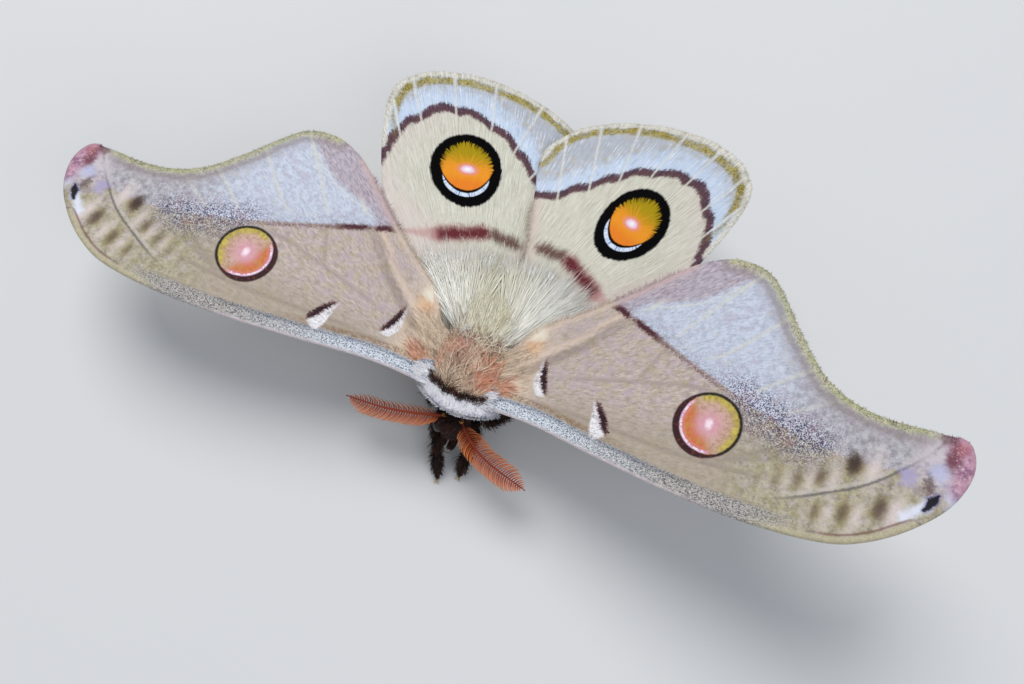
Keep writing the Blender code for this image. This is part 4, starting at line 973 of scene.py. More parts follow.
def wing_sheet(plan, kind, side, material):
    """A wing as a thin closed sheet: veins raised, the membrane between them arched, its edge thin."""
    name = kind + "_" + side
    edge = even(outline(plan, side), 0.36)
    points = [edge]
    for path in plan["veins"]:
        middle = even(curve(path), 0.55)
        across = np.stack([-np.gradient(middle[:, 1]), np.gradient(middle[:, 0])], 1)
        across /= np.linalg.norm(across, axis=1)[:, None]
        for shift in (0.0, 0.2, -0.2):
            row = middle + across * shift
            points.append(row[within(row, edge) & (distance(row, edge)[0] > 0.2)])
    fixed = np.vstack(points)
    step = 0.5
    low, high = edge.min(0), edge.max(0)
    us, vs = np.meshgrid(np.arange(low[0], high[0], step), np.arange(low[1], high[1], step * 0.866))
    us = us + (np.arange(len(us)) % 2)[:, None] * step / 2
    lattice = np.stack([us.ravel(), vs.ravel()], 1)
    lattice = lattice[within(lattice, edge)]
    lattice = lattice[distance(lattice, edge)[0] > 0.3]
    vein = np.full(len(lattice), 9.0)
    for path in plan["veins"]:
        vein = np.minimum(vein, from_curve(lattice, path, 0.55)[0])
    lattice = lattice[vein > 0.42]
    flat = [Vector((float(u), float(v))) for u, v in np.vstack([fixed, lattice])]
    verts, _, tris, _, _, _ = delaunay_2d_cdt(flat, [], [list(range(len(edge)))], 1, 1e-4)
    flat = np.array([(p.x, p.y) for p in verts])
    tris = np.array(tris, np.int64)
    data = wing_data(plan, side, flat)
    rim = distance(flat, edge)[0]
    vein, costa = data["edges"][:, 0], data["marks"][:, 2]
    ridge = np.exp(-(vein / 0.24) ** 2)
    arch = 0.10 * np.clip(vein / 1.6, 0, 1)
    half = 0.05 + 0.10 * np.clip(rim / 0.8, 0, 1)
    if plan is FORE:
        half = half + 0.16 * np.exp(-(costa / 0.9) ** 2)
    relief = data["spots"][:, 1] * 0.16 - data["spots"][:, 0] * 0.10
    top = half + 0.11 * ridge + arch + relief
    below = -half - 0.05 * ridge + arch + relief
    upper = lay(plan, side, flat, top)
    lower = lay(plan, side, flat, below)
    n = len(flat)
    if side == "right":
        tris = tris[:, ::-1]
    edges = {}
    for a, b, c in tris:
        edges[(a, b)] = edges[(b, c)] = edges[(c, a)] = True
    rim_faces = []
    for a, b in edges:
        if (b, a) not in edges:
            rim_faces += [(b, a, n + a), (b, n + a, n + b)]
    faces = np.vstack([tris, tris[:, ::-1] + n, np.array(rim_faces)])
    both = {key: np.vstack([values, values]) for key, values in data.items()}
    both["flat"][n:, 2] = 1.0
    patch = np.vstack([wing_patch(flat), wing_patch(flat, 0.5)])[faces]
    patch[2 * len(tris):] = wing_patch(flat)[faces[2 * len(tris):] % n]
    mesh_piece(name + "_sheet", np.vstack([upper, lower]), faces, material, kind, both, patch.reshape(-1, 2),
               [name])


def blade_faces(count):
    """Triangles of three-sided tapered blades, each of three rings and a tip."""
    faces = [(0, 2, 1)]
    for a, b in ((0, 1), (1, 2), (2, 0), (3, 4), (4, 5), (5, 3)):
        faces += [(a, b, b + 3), (a, b + 3, a + 3)]
    faces += [(6, 7, 9), (7, 8, 9), (8, 6, 9)]
    return (np.array(faces)[None] + (np.arange(count) * BLADE_POINTS)[:, None, None]).reshape(-1, 3)


def blade_rows(values):
    """A row of values for each blade, repeated over its points."""
    return np.repeat(np.asarray(values), BLADE_POINTS, axis=0)


def blade_shares(count):
    """How far along its blade each point lies."""
    return np.tile(np.repeat(STATIONS, (3, 3, 3, 1)), count)


def blade_patches(roots, faces):
    """The bake map of blades: each is a small patch at its root's place."""
    shape = [(i / 2 - 0.5, k / 3) for k in range(3) for i in range(3)] + [(0.0, 1.0)]
    return (roots[:, None] + (np.array(shape) * PATCH)[None]).reshape(-1, 2)[faces].reshape(-1, 2)


def hair_tone(n):
    """A random tone for each blade, with how far along it each point lies."""
    rows = blade_rows(np.stack([RNG.random(n), np.zeros(n), RNG.random(n)], 1))
    rows[:, 1] = blade_shares(n)
    return rows


def wing_hair(name, plan, side, material, slot, roots, heading, length, width, rise, curl, base):
    """Hair on a wing: flat blades rooted at u, v that lie along their heading and follow the wing's bend."""
    n = len(roots)
    widths = (0.8, 1.0, 0.65)
    swing = RNG.normal(0, curl, n)
    points = np.zeros((n, BLADE_POINTS, 3))
    for k, s in enumerate(STATIONS):
        turn = heading + swing * s * s
        along = np.stack([np.cos(turn), np.sin(turn)], 1)
        spot = roots + along * (length * s)[:, None]
        lift = base + rise * math.sin(math.pi * min(s * 0.62, 0.5)) * (1 - 0.25 * s)
        if k == 3:
            points[:, 9] = lay(plan, side, spot, lift)
            continue
        half = (width * widths[k] / 2)[:, None]
        across = np.stack([-along[:, 1], along[:, 0]], 1) * half
        points[:, 3 * k] = lay(plan, side, spot + across, lift)
        points[:, 3 * k + 1] = lay(plan, side, spot - across, lift)
        points[:, 3 * k + 2] = lay(plan, side, spot, lift + width * 0.35)
    faces = blade_faces(n)
    if side == "right":
        faces = faces[:, ::-1]
    data = {key: blade_rows(values) for key, values in wing_data(plan, side, roots).items()}
    data["edges"][:, 2] = blade_shares(n)
    patches = blade_patches(wing_patch(roots), faces)
    return mesh_piece(name, points.reshape(-1, 3), faces, material, slot, data, patches)


def lie_on_wing(points):
    """The heading of the hair on a wing: out from its root."""
    return np.arctan2(points[:, 1] - HAIR_CENTRE[1], points[:, 0] - HAIR_CENTRE[0])


def scatter_on_wing(plan, side, count, keep):
    """Random flat points on a wing, kept with the chance that keep gives for each."""
    edge = outline(plan, side)
    low, high = edge.min(0), edge.max(0)
    points = low + RNG.random((count, 2)) * (high - low)
    points = points[within(points, edge)]
    return points[RNG.random(len(points)) < keep(points)]


def fringes(plan, kind, side, material):
    """The soft short fringe along a wing's outer and inner edges."""
    hind = plan is HIND
    margin = even(curve(plan["margin"]), 0.05)
    inner = even(curve(plan["inner"]), 0.05)
    rows = []
    for line, count, low, high in ((margin, 1900, 0.4, 0.75), (inner, 1100, 0.8, 1.8)):
        pick = RNG.integers(1, len(line) - 1, count)
        tangent = unit(line[pick + 1] - line[pick - 1])
        outward = np.stack([tangent[:, 1], -tangent[:, 0]], 1)
        inward = within(line[pick] + outward * 0.3, outline(plan, side))
        outward[inward] *= -1
        spot = line[pick] - outward * RNG.uniform(0.3, 0.9, count)[:, None]
        turn = np.arctan2(outward[:, 1], outward[:, 0]) + RNG.normal(0, 0.25, count)
        if line is inner:
            turn = turn + (0.7 if hind else -0.75)
        fade = np.clip(np.minimum(pick, len(line) - pick) / len(line) * 8, 0.35, 1)
        if line is margin and not hind:
            fade = np.clip(pick / len(line) * 5 - 0.1, 0.3, 1)
        rows.append((spot, turn, RNG.uniform(low, high, count) * fade))
    spot, turn, length = (np.concatenate(part) for part in zip(*rows))
    wing_hair("fringe_" + kind + "_" + side, plan, side, material, kind, spot, turn, length,
              RNG.uniform(0.07, 0.13, len(spot)), RNG.uniform(-0.08, 0.08, len(spot)), 0.2, 0.1)


def wing_base_hair(plan, kind, side, material):
    """The soft hair over a wing's base and along its inner edge, kept clear of the marks and eyespot."""
    hind = plan is HIND
    edge = outline(plan, side)
    inner = even(curve(plan["inner"]), 0.4)
    if hind:
        keep = lambda p: np.clip(1.2 - np.hypot(p[:, 0] - 2, p[:, 1] - 8) / 15.0, 0, 1) * 0.9
    else:
        keep = lambda p: np.clip(1.2 - np.hypot(p[:, 0] - 1, p[:, 1] - 4) / 7.0, 0, 1)
    spot = scatter_on_wing(plan, side, 30000, keep)
    along = scatter_on_wing(plan, side, 12000, lambda p: np.clip(1.3 - distance(p, inner)[0] / 2.2, 0, 1))
    spot = np.vstack([spot[RNG.permutation(len(spot))[:2300]], along[RNG.permutation(len(along))[:800]]])
    far = np.hypot(spot[:, 0] - 1, spot[:, 1] - 3)
    turn = lie_on_wing(spot) + RNG.normal(0, 0.14, len(spot))
    length = np.interp(far, [0, 6, 16], [2.3, 1.8, 1.3]) * RNG.uniform(0.7, 1.2, len(spot))
    rise = np.interp(far, [0, 6, 16], [0.24, 0.14, 0.08]) * RNG.uniform(0.5, 1.2, len(spot))
    tips = spot + np.stack([np.cos(turn), np.sin(turn)], 1) * length[:, None]
    clear = within(tips, edge)
    if hind:
        clear &= np.linalg.norm(tips - HIND_EYE, axis=1) > HIND_EYE_CLEAR
        clear &= np.linalg.norm(spot - HIND_EYE, axis=1) > HIND_EYE_CLEAR
    else:
        clear &= (tips[:, 0] < 6.4) | (spot[:, 1] > 6.8)
        clear &= from_curve(spot, plan["costa"])[0] > 2.6
        clear &= from_curve(tips, plan["line"])[0] > 0.6
    spot, turn, length, rise = spot[clear], turn[clear], length[clear], rise[clear]
    wing_hair("hair_" + kind + "_" + side, plan, side, material, kind, spot, turn, length,
              RNG.uniform(0.10, 0.18, len(spot)), rise, 0.15, 0.1)


def white_tufts(side, material):
    """Tufts on the white wedges of the forewing's two marks and along the dark dashes' outer edges."""
    rows = []
    for rear, front, bow, wide in MARKS:
        rear, front = np.array(rear), np.array(front)
        t = RNG.uniform(0.0, 1.0, 260)
        along = unit((front - rear)[None])[0]
        beside = np.array([along[1], -along[0]])
        reach = wide * np.clip(t / 0.8, 0, 1) + 0.3
        out = 0.5 + reach * RNG.uniform(0.1, 0.9, 260) + bow * 4 * t * (1 - t)
        rows.append(rear + (front - rear) * t[:, None] + beside * out[:, None])
        t = RNG.uniform(0.05, 0.95, 150)
        out = RNG.uniform(-0.2, 0.15, 150) + bow * 4 * t * (1 - t)
        rows.append(rear + (front - rear) * t[:, None] + beside * out[:, None])
    spot = np.concatenate(rows)
    turn = lie_on_wing(spot) + RNG.normal(0, 0.3, len(spot))
    wing_hair("white_tufts_" + side, FORE, side, material, "forewing", spot, turn,
              RNG.uniform(0.35, 0.7, len(spot)), RNG.uniform(0.10, 0.16, len(spot)),
              RNG.uniform(0.05, 0.2, len(spot)), 0.2, 0.1)


def fans(material):
    """The two fans of long pale hair over the bases of the hindwings."""
    for side in ("left", "right"):
        count = 2700
        share = RNG.random(count)
        heading = np.radians(FAN_FIRST - 4 + (FAN_LAST - FAN_FIRST + 8) * share)
        roots = np.stack([root_u(HIND, side) + 0.4 + 1.6 * (1 - share) + RNG.normal(0, 0.5, count),
                          -0.8 + 3.8 * share + RNG.normal(0, 0.5, count)], 1)
        lock = 0.88 + 0.15 * np.sin(share * 47.0) + 0.07 * np.sin(share * 113.0 + 1.0)
        length = (FAN_LENGTH - 1.0 * share) * RNG.uniform(0.55, 1.04, count) * lock
        hair = wing_hair("fan_hair_" + side, HIND, side, material, "pale_scales", roots, heading, length,
                         RNG.uniform(0.14, 0.26, count), RNG.uniform(0.3, 1.6, count), 0.08, 0.35)
        layer = hair.data.attributes.new("tone", "FLOAT_VECTOR", "POINT")
        layer.data.foreach_set("vector", hair_tone(count).astype(np.float32).ravel())


def thorax_point(angle, t):
    """Points on the thorax: angle over the back from the middle line, t along it, in radians."""
    half = THORAX_HALF - THORAX_DEPTH
    bulge = lambda value: np.sign(value) * np.abs(value) ** (2 / THORAX_POWER)
    r = np.abs(np.cos(t)) ** (2 / THORAX_POWER)
    return THORAX + np.stack([half[0] * r * bulge(np.sin(angle)), half[1] * bulge(np.sin(t)),
                              half[2] * r * bulge(np.cos(angle))], 1)


def head_point(angle, t):
    """Points on the head, as on the thorax."""
    r = np.cos(t)
    return HEAD + (HEAD_HALF - HEAD_DEPTH) * np.stack([r * np.sin(angle), np.sin(t), r * np.cos(angle)], 1)


def abdomen_ring(s):
    """Middle and radius of the abdomen at shares of its length."""
    s = np.asarray(s, float)
    middle = ABDOMEN_FRONT + (ABDOMEN_TIP - ABDOMEN_FRONT) * s[:, None]
    middle[:, 2] = ABDOMEN_FRONT[2] + (ABDOMEN_TIP[2] - ABDOMEN_FRONT[2]) * s ** 1.15
    ring = np.abs(np.sin(np.pi * s * ABDOMEN_SEGMENTS)) ** 0.6
    return middle, ABDOMEN_RADIUS * (0.86 + 0.5 * s - 1.12 * s * s) * (0.92 + 0.08 * ring)


def abdomen_point(angle, s):
    """Points on the abdomen: angle over its back, s along it from 0 to 1."""
    middle, radius = abdomen_ring(s)
    radius = np.maximum(radius - ABDOMEN_DEPTH, 0.2)
    points = middle + np.stack([radius * 1.04 * np.sin(angle), 0 * s, radius * np.cos(angle)], 1)
    points[:, 2] = np.maximum(points[:, 2], 0.25)
    return points


def frames_on(surface, inside, angle, t):
    """Roots, outward normals and rearward directions at places on a surface round a middle."""
    root = surface(angle, t)
    ahead = unit(surface(angle, t + 0.02) - surface(angle, t - 0.02))
    across = unit(surface(angle + 0.03, t) - surface(angle - 0.03, t))
    normal = unit(np.cross(across, ahead))
    flip = ((root - inside) * normal).sum(1) < 0
    normal[flip] *= -1
    return root, normal, ahead


def leg_line(name):
    """The middle line of a leg, with its radius at each point."""
    knots = [tuple(place) + (radius,) for place, radius in zip(LEGS[name], LEG_RADII)]
    calf = np.array(knots[2]) * 0.5 + np.array(knots[3]) * 0.5
    calf[3] = CALF_RADIUS[name.rsplit("_", 1)[0]]
    knots.insert(3, tuple(calf))
    return even(curve(knots, 5), 0.3)


def collar_line():
    """The middle line of the collar, from its right end to its left."""
    s = np.linspace(-1, 1, 41)[:, None]
    return COLLAR_MIDDLE + np.hstack([COLLAR_ENDS[0] * s, COLLAR_ENDS[1] * s * s, COLLAR_ENDS[2] * s * s])


def collar_height(points):
    """How far points lie over the collar's middle surface, in millimetres."""
    line = collar_line()
    tangent = unit(np.gradient(line, axis=0))
    up = np.cross(tangent, unit(np.cross(COLLAR_FACE, tangent)))
    height = np.empty(len(points))
    for k in range(0, len(points), 5000):
        part = points[k:k + 5000]
        nearest = ((part[:, None] - line[None]) ** 2).sum(2).argmin(1)
        height[k:k + 5000] = ((part - line[nearest]) * up[nearest]).sum(1)
    return height


def palp_line(sign):
    """The middle line of a palp under the head."""
    x = HEAD[0] + sign * 0.75
    return curve([(x, HEAD[1] - 1.0, HEAD[2] - 1.4), (x, HEAD[1] - 2.0, HEAD[2] - 1.7),
                  (x * 0.97 + 0.03, HEAD[1] - 2.8, HEAD[2] - 1.5)], 2)


def make_skin(material):
    """One skin for the head, thorax, collar, abdomen and legs, so that no seam shows under the coat."""
    t = np.repeat(np.linspace(-np.pi / 2, np.pi / 2, 32)[1:-1], 48)
    angle = np.tile(-2 * np.pi * np.arange(48) / 48, 30)
    ends = THORAX + np.array([[0, -1, 0], [0, 1, 0]]) * (THORAX_HALF[1] - THORAX_DEPTH)
    shapes = [(np.vstack([ends[:1], thorax_point(angle, t), ends[1:]]), ring_faces(30, 48))]
    shapes.append(ball(HEAD, HEAD_HALF - HEAD_DEPTH))
    shapes.append(tube(np.linspace(HEAD, THORAX + [0, -5.0, -0.6], 8), 1.6, 20))
    shapes.append(tube(collar_line(), 1.05, 16, 0.45, COLLAR_FACE))
    s = np.repeat(np.linspace(0.0, 1.0, 60), 36)
    angle = np.tile(-2 * np.pi * np.arange(36) / 36, 60)
    ends = abdomen_ring([0.0, 1.0])[0] + [[0, -0.5, 0], [0, 0.35, 0]]
    shapes.append((np.vstack([ends[:1], abdomen_point(angle, s), ends[1:]]), ring_faces(60, 36)))
    shapes.append(tube(np.linspace(THORAX + [0, 4.5, -1.2], ABDOMEN_FRONT + [0, 1.5, 0], 8), 2.7, 24))
    for name in LEGS:
        line = leg_line(name)
        radii = np.maximum(line[:, 3] * LEG_CORE, LEG_LEAST)
        line[:, 2] = np.maximum(line[:, 2], radii + 0.02)
        shapes.append(tube(line[:, :3], radii, 12))
    for sign in (-1, 1):
        shapes.append(tube(palp_line(sign), PALP_RADII, 12))
    rough = mesh_piece("shells", *joined(shapes), material, None)
    remesh = rough.modifiers.new("one_surface", "REMESH")
    remesh.mode = "VOXEL"
    remesh.voxel_size = 0.2 * MM
    smooth = rough.modifiers.new("soften", "SMOOTH")
    smooth.iterations = 3
    rough.modifiers.new("triangles", "TRIANGULATE")
    mesh = bpy.data.meshes.new_from_object(rough.evaluated_get(bpy.context.evaluated_depsgraph_get()))
    bpy.data.objects.remove(rough, do_unlink=True)
    place = np.empty(len(mesh.vertices) * 3, np.float32)
    mesh.vertices.foreach_get("co", place)
    place = place.reshape(-1, 3) / MM + CENTRE
    faces = np.empty(len(mesh.polygons) * 3, np.int32)
    mesh.polygons.foreach_get("vertices", faces)
    bpy.data.meshes.remove(mesh)
    leg = (place[:, 2] < 6.2) & ((np.abs(place[:, 0] - 1.0) > 4.0) | (place[:, 1] < 5.0))
    near = np.linalg.norm((place - HEAD) / HEAD_HALF, axis=1)
    head = np.clip((1.42 - near) / 0.3, 0, 1) * (place[:, 2] < 12.0)
    head = np.maximum(head, (place[:, 1] < -9.6) & (place[:, 2] < 8.0))
    pale = (place[:, 1] < -5.2) & (place[:, 2] > 12.6)
    under = pale & (collar_height(place) < -0.2)
    belly = np.clip((place[:, 1] - 6.0) / 2.5, 0, 1) * ~leg
    zone = np.stack([np.where(pale, under, np.maximum(leg, head)), pale & ~under, belly], 1)
    data = {"root": place, "zone": zone, "tone": np.tile([0.4, 0.2, 0.5], (len(place), 1))}
    nodes = ["thorax", "collar", "head", "abdomen", *LEGS]
    return mesh_piece("skin", place, faces.reshape(-1, 3), material, "thorax_fur", data, None, nodes)


def fur(name, material, slot, frames, lie, length, width, rise, zone, places, curl, clump,
        sink=0.15, hug=0.07):
    """A coat of flat tapered locks that leave the skin, bend over and lie along it."""
    root, normal = frames
    n = len(root)
    length, width, rise = (np.broadcast_to(item, (n,)).reshape(-1, 1) for item in (length, width, rise))
    side = unit(np.cross(normal, lie))
    swing = RNG.normal(0, curl, (n, 1))
    shift = np.zeros((n, 3))
    if clump > 0:
        tips = root + lie * length
        leaders = tips[::12]
        nearest = np.empty(n, int)
        for k in range(0, n, 2000):
            gap = ((tips[k:k + 2000, None] - leaders[None]) ** 2).sum(2)
            nearest[k:k + 2000] = gap.argmin(1)
        shift = (leaders[nearest] - tips) * clump
    points = np.zeros((n, BLADE_POINTS, 3))
    for k, s in enumerate(STATIONS):
        up = rise * math.sin(math.pi * min(s * 0.6, 0.5)) * (1 - 0.22 * s) - sink * (1 - s) ** 2
        up = up - hug * (length * s) ** 2
        spot = root + lie * length * s + normal * up + side * swing * length * s * s + shift * s * s
        if k == 3:
            points[:, 9] = spot
            continue
        half = width * (0.8, 1.0, 0.62)[k] / 2
        points[:, 3 * k] = spot + side * half
        points[:, 3 * k + 1] = spot - side * half
        points[:, 3 * k + 2] = spot + normal * half * 0.8
    points[:, :, 2] = np.maximum(points[:, :, 2], 0.03)
    faces = blade_faces(n)
    zone = np.broadcast_to(zone, (n, 3))
    data = {"root": blade_rows(root), "zone": blade_rows(zone), "tone": hair_tone(n)}
    patches = blade_patches(np.asarray(places) * 0.98 + 0.01, faces)
    return mesh_piece(name, points.reshape(-1, 3), faces, material, slot, data, patches)


def wrapped(angle, t, low=-np.pi / 2, high=np.pi / 2):
    """Places on an unwrap of a round body: round it, and along it."""
    around = (np.asarray(angle) / (2 * np.pi) + 0.5) % 1.0
    return np.stack([around, (np.asarray(t) - low) / (high - low)], 1)


def tube_roots(path, radii, count, first=0.0, last=1.0):
    """Roots, normals, directions and unwrapped places of hair round a tube."""
    share = RNG.uniform(first, last, count)
    where = share * (len(path) - 1)
    at = lambda rows: np.stack([np.interp(where, np.arange(len(path)), rows[:, k]) for k in range(3)], 1)
    tangent = unit(at(unit(np.gradient(path, axis=0))))
    side = unit(np.cross([0.0, 0.0, 1.0], tangent))
    above = np.cross(tangent, side)
    turn = RNG.uniform(0, 2 * np.pi, count)
    normal = side * np.cos(turn)[:, None] + above * np.sin(turn)[:, None]
    radius = np.interp(where, np.arange(len(path)), radii)
    return at(path) + normal * radius[:, None], normal, tangent, np.stack([turn / (2 * np.pi), share], 1)


def thorax_coat(material):
    """The woolly coat over the thorax in two layers, its longer rear hair, and in front a dark line of short
    hair, which is painted shade where the wool meets the collar.
    """
    for layer, count, long, high, wide in (("under", 9000, 2.2, 0.9, 0.18), ("over", 9500, 3.3, 1.3, 0.11)):
        t = np.arcsin(RNG.uniform(math.sin(math.radians(-86)), math.sin(math.radians(76)), count))
        angle = RNG.uniform(-np.pi, np.pi, count)
        root, normal, ahead = frames_on(thorax_point, THORAX, angle, t)
        above = np.clip(np.cos(angle), 0, 1)
        x, y = root[:, 0], root[:, 1]
        swirl = np.sin(x * 1.3 + y * 0.9 + 0.6) * np.cos(y * 1.1 - x * 0.4)
        splay = 0.35 * np.sin(angle) + 1.1 * swirl
        across = unit(np.cross(ahead, normal))
        lie = unit(ahead + across * (splay + RNG.normal(0, 0.3, count))[:, None])
        length = long + 0.7 * above + 0.8 * np.clip(t, 0, 1) + RNG.normal(0, 0.3, count)
        length *= np.interp(y, [-7.4, -4.5], [0.5, 1.0])
        rise = np.clip(high + RNG.normal(0, 0.25, count), 0.4, 1.8) * (0.75 + 0.35 * above)
        rise *= np.interp(y, [-7.4, -5.0], [0.55, 1.0])
        fur("coat_thorax_" + layer, material, "thorax_fur", (root, normal), lie, length,
            RNG.uniform(0.7, 1.2, count) * wide, rise, (0, 0, 0), wrapped(angle, t), 0.4, 0.45)
    count = 2800
    angle = np.radians(RNG.normal(3, 22, count))
    t = np.radians(RNG.uniform(10, 66, count))
    root = thorax_point(angle, t)
    lie = unit(np.stack([0.75 * np.sin(angle) + RNG.normal(0, 0.15, count), np.ones(count),
                         -0.16 - 0.12 * np.abs(np.sin(angle))], 1))
    normal = unit(np.stack([0.4 * np.sin(angle), np.full(count, 0.1), np.ones(count)], 1))
    length, width, rise = (RNG.uniform(*ends, count) for ends in ((3.0, 6.6), (0.09, 0.16), (0.5, 1.4)))
    fur("coat_rear", material, "thorax_fur", (root, normal), lie, length, width, rise, (0, 0, 0),
        wrapped(angle, t), 0.2, 0.65, hug=0.0)
    # Short dark hair just behind the collar: painted shade in the groove where the wool meets the collar.
    count = 1400
    x = RNG.uniform(-4.0, 5.4, count)
    behind = COLLAR_MIDDLE[1] + 1.15 + 1.9 * ((x - COLLAR_MIDDLE[0]) / COLLAR_ENDS[0]) ** 2
    ragged = 0.4 * np.sin(x * 5.0) * np.sin(x * 2.3 + 1)
    root = np.stack([x, behind + ragged + RNG.normal(-0.25, 0.2, count), 15.1 - 0.03 * (x - 1.0) ** 2], 1)
    normal = unit(np.stack([0.12 * (x - 1.0), np.full(count, -0.3), np.ones(count)], 1))
    lie = unit(np.stack([RNG.normal(0, 0.8, count), np.ones(count), RNG.uniform(0.0, 0.8, count)], 1))
    length, rise = RNG.uniform(0.4, 1.2, count), RNG.uniform(0.1, 0.5, count)
    places = np.stack([(x + 4) / 10, RNG.random(count)], 1)
    fur("coat_nape", material, "dark_fur", (root, normal), lie, length, 0.08, rise, (1, 0, 0), places,
        0.4, 0.25, 0.9, 0.0)


def fan_flow(material):
    """Long hair from the thorax's rear that flows out over the two fans in pointed tufts."""
    for side, sign in (("left", 1), ("right", -1)):
        count = 2300
        share = RNG.random(count)
        angle = sign * np.radians(16 + 36 * (1 - share))
        t = np.radians(RNG.uniform(18, 54, count))
        root = thorax_point(angle, t)
        heading = np.radians(FAN_FIRST + (FAN_LAST - FAN_FIRST) * share)
        start = np.stack([root_u(HIND, side) + 0.4 + 1.6 * (1 - share), 3.8 * share - 0.8], 1)
        reach = FAN_LENGTH * RNG.uniform(0.4, 0.94, count) * (0.92 + 0.1 * np.sin(share * 31.0))
        flat = start + np.stack([np.cos(heading), np.sin(heading)], 1) * reach[:, None]
        way = lay(HIND, side, flat, RNG.uniform(0.5, 1.1, count)) - root
        normal = unit(np.stack([0.3 * np.sin(angle), np.full(count, 0.1), np.ones(count)], 1))
        length = np.linalg.norm(way, axis=1)
        width, rise = RNG.uniform(0.12, 0.2, count), RNG.uniform(0.3, 1.2, count)
        fur("coat_flow_" + side, material, "thorax_fur", (root, normal), unit(way), length, width, rise,
            (0, 0, 0), wrapped(angle, t), 0.08, 0.6, hug=0.0)


def collar_ends(material):
    """Short pale hair at both ends of the collar, which flows out over the front of the wings' roots."""
    rows = []
    count = 360
    for side in ("left", "right"):
        v = RNG.uniform(-3.0, -0.4, count)
        u = RNG.uniform(-0.9, 1.2, count)
        root = lay(FORE, side, np.stack([u, v], 1), RNG.uniform(0.5, 0.62, count))
        ahead = lay(FORE, side, np.stack([u + 1.0, v - 0.12], 1), np.full(count, 0.56))
        rows.append((root, unit(ahead - root + RNG.normal(0, 0.08, (count, 3)))))
    root, lie = (np.concatenate(part) for part in zip(*rows))
    places = np.stack([root[:, 0] / 20 + 0.5, root[:, 1] / 10 + 0.9], 1)
    normal = np.tile([0.0, 0.0, 1.0], (len(root), 1))
    length, rise = RNG.uniform(0.8, 1.7, len(root)), RNG.uniform(0.05, 0.2, len(root))
    fur("coat_collar_ends", material, "pale_scales", (root, normal), lie, length, 0.12, rise, (0, 1, 0),
        places, 0.15, 0.1, 0.2, 0.0)


def head_coat(material):
    """Short dark hair on the head and its palps, smallest on the face."""
    count = 4200
    t = np.arcsin(RNG.uniform(-0.99, 0.85, count))
    angle = RNG.uniform(-np.pi, np.pi, count)
    root, normal, _ = frames_on(head_point, HEAD, angle, t)
    down = np.array([0.0, -0.5, -0.85])
    lie = unit(down - normal * (normal @ down)[:, None] + RNG.normal(0, 0.2, (count, 3)))
    length = np.where(root[:, 1] < HEAD[1] - 0.9, 0.7, 1.2) * RNG.uniform(0.8, 1.25, count)
    clear = np.ones(count, bool)
    for sign in (-1, 1):
        clear &= np.linalg.norm(root - HEAD - EYE_OUT * [sign, 1, 1], axis=1) > EYE_RADIUS + 0.1
    root, normal, lie, length = (part[clear] for part in (root, normal, lie, length))
    fur("coat_head", material, "dark_fur", (root, normal), lie, length, 0.12, 0.32, (1, 0, 0),
        wrapped(angle, t)[clear], 0.15, 0.2, 0.08)
    rows = [tube_roots(palp_line(sign), PALP_RADII, 420) for sign in (-1, 1)]
    root, normal, ahead, places = (np.concatenate(part) for part in zip(*rows))
    length = RNG.uniform(0.45, 0.8, len(root))
    fur("coat_palps", material, "dark_fur", (root, normal), ahead, length, 0.1, 0.2, (1, 0, 0), places,
        0.15, 0.0, 0.06)


def leg_coat(material):
    """Dark shaggy fur on the legs, out to the solids' thickness and thinner towards the feet."""
    rows = []
    for k, name in enumerate(LEGS):
        line = leg_line(name)
        core = np.maximum(line[:, 3] * LEG_CORE, LEG_LEAST)
        count = 1500 if "front" in name else 1200
        root, normal, ahead, places = tube_roots(line[:, :3], core, count, 0.06, 0.95)
        places = (places + [k, 0]) / [len(LEGS), 1]
        rows.append((root, normal, ahead, places))
    root, normal, ahead, places = (np.concatenate(part) for part in zip(*rows))
    keep = root[:, 2] > 0.16
    root, normal, ahead, places = root[keep], normal[keep], ahead[keep], places[keep]
    share = np.interp(root[:, 2], [0.4, 2.0, 5.0], [0.25, 0.95, 1.1])
    lie = unit(ahead + RNG.normal(0, 0.3, (len(root), 3)))
    shaggy = np.where(RNG.random(len(root)) < 0.25, 1.7, 0.9)
    rise = 0.55 * share * RNG.uniform(0.5, 1.3, len(root)) * shaggy
    length = 1.3 * share * RNG.uniform(0.6, 1.3, len(root))
    fur("coat_legs", material, "dark_fur", (root, normal), lie, length, 0.1, rise, (1, 0, 0), places,
        0.25, 0.25, 0.08)


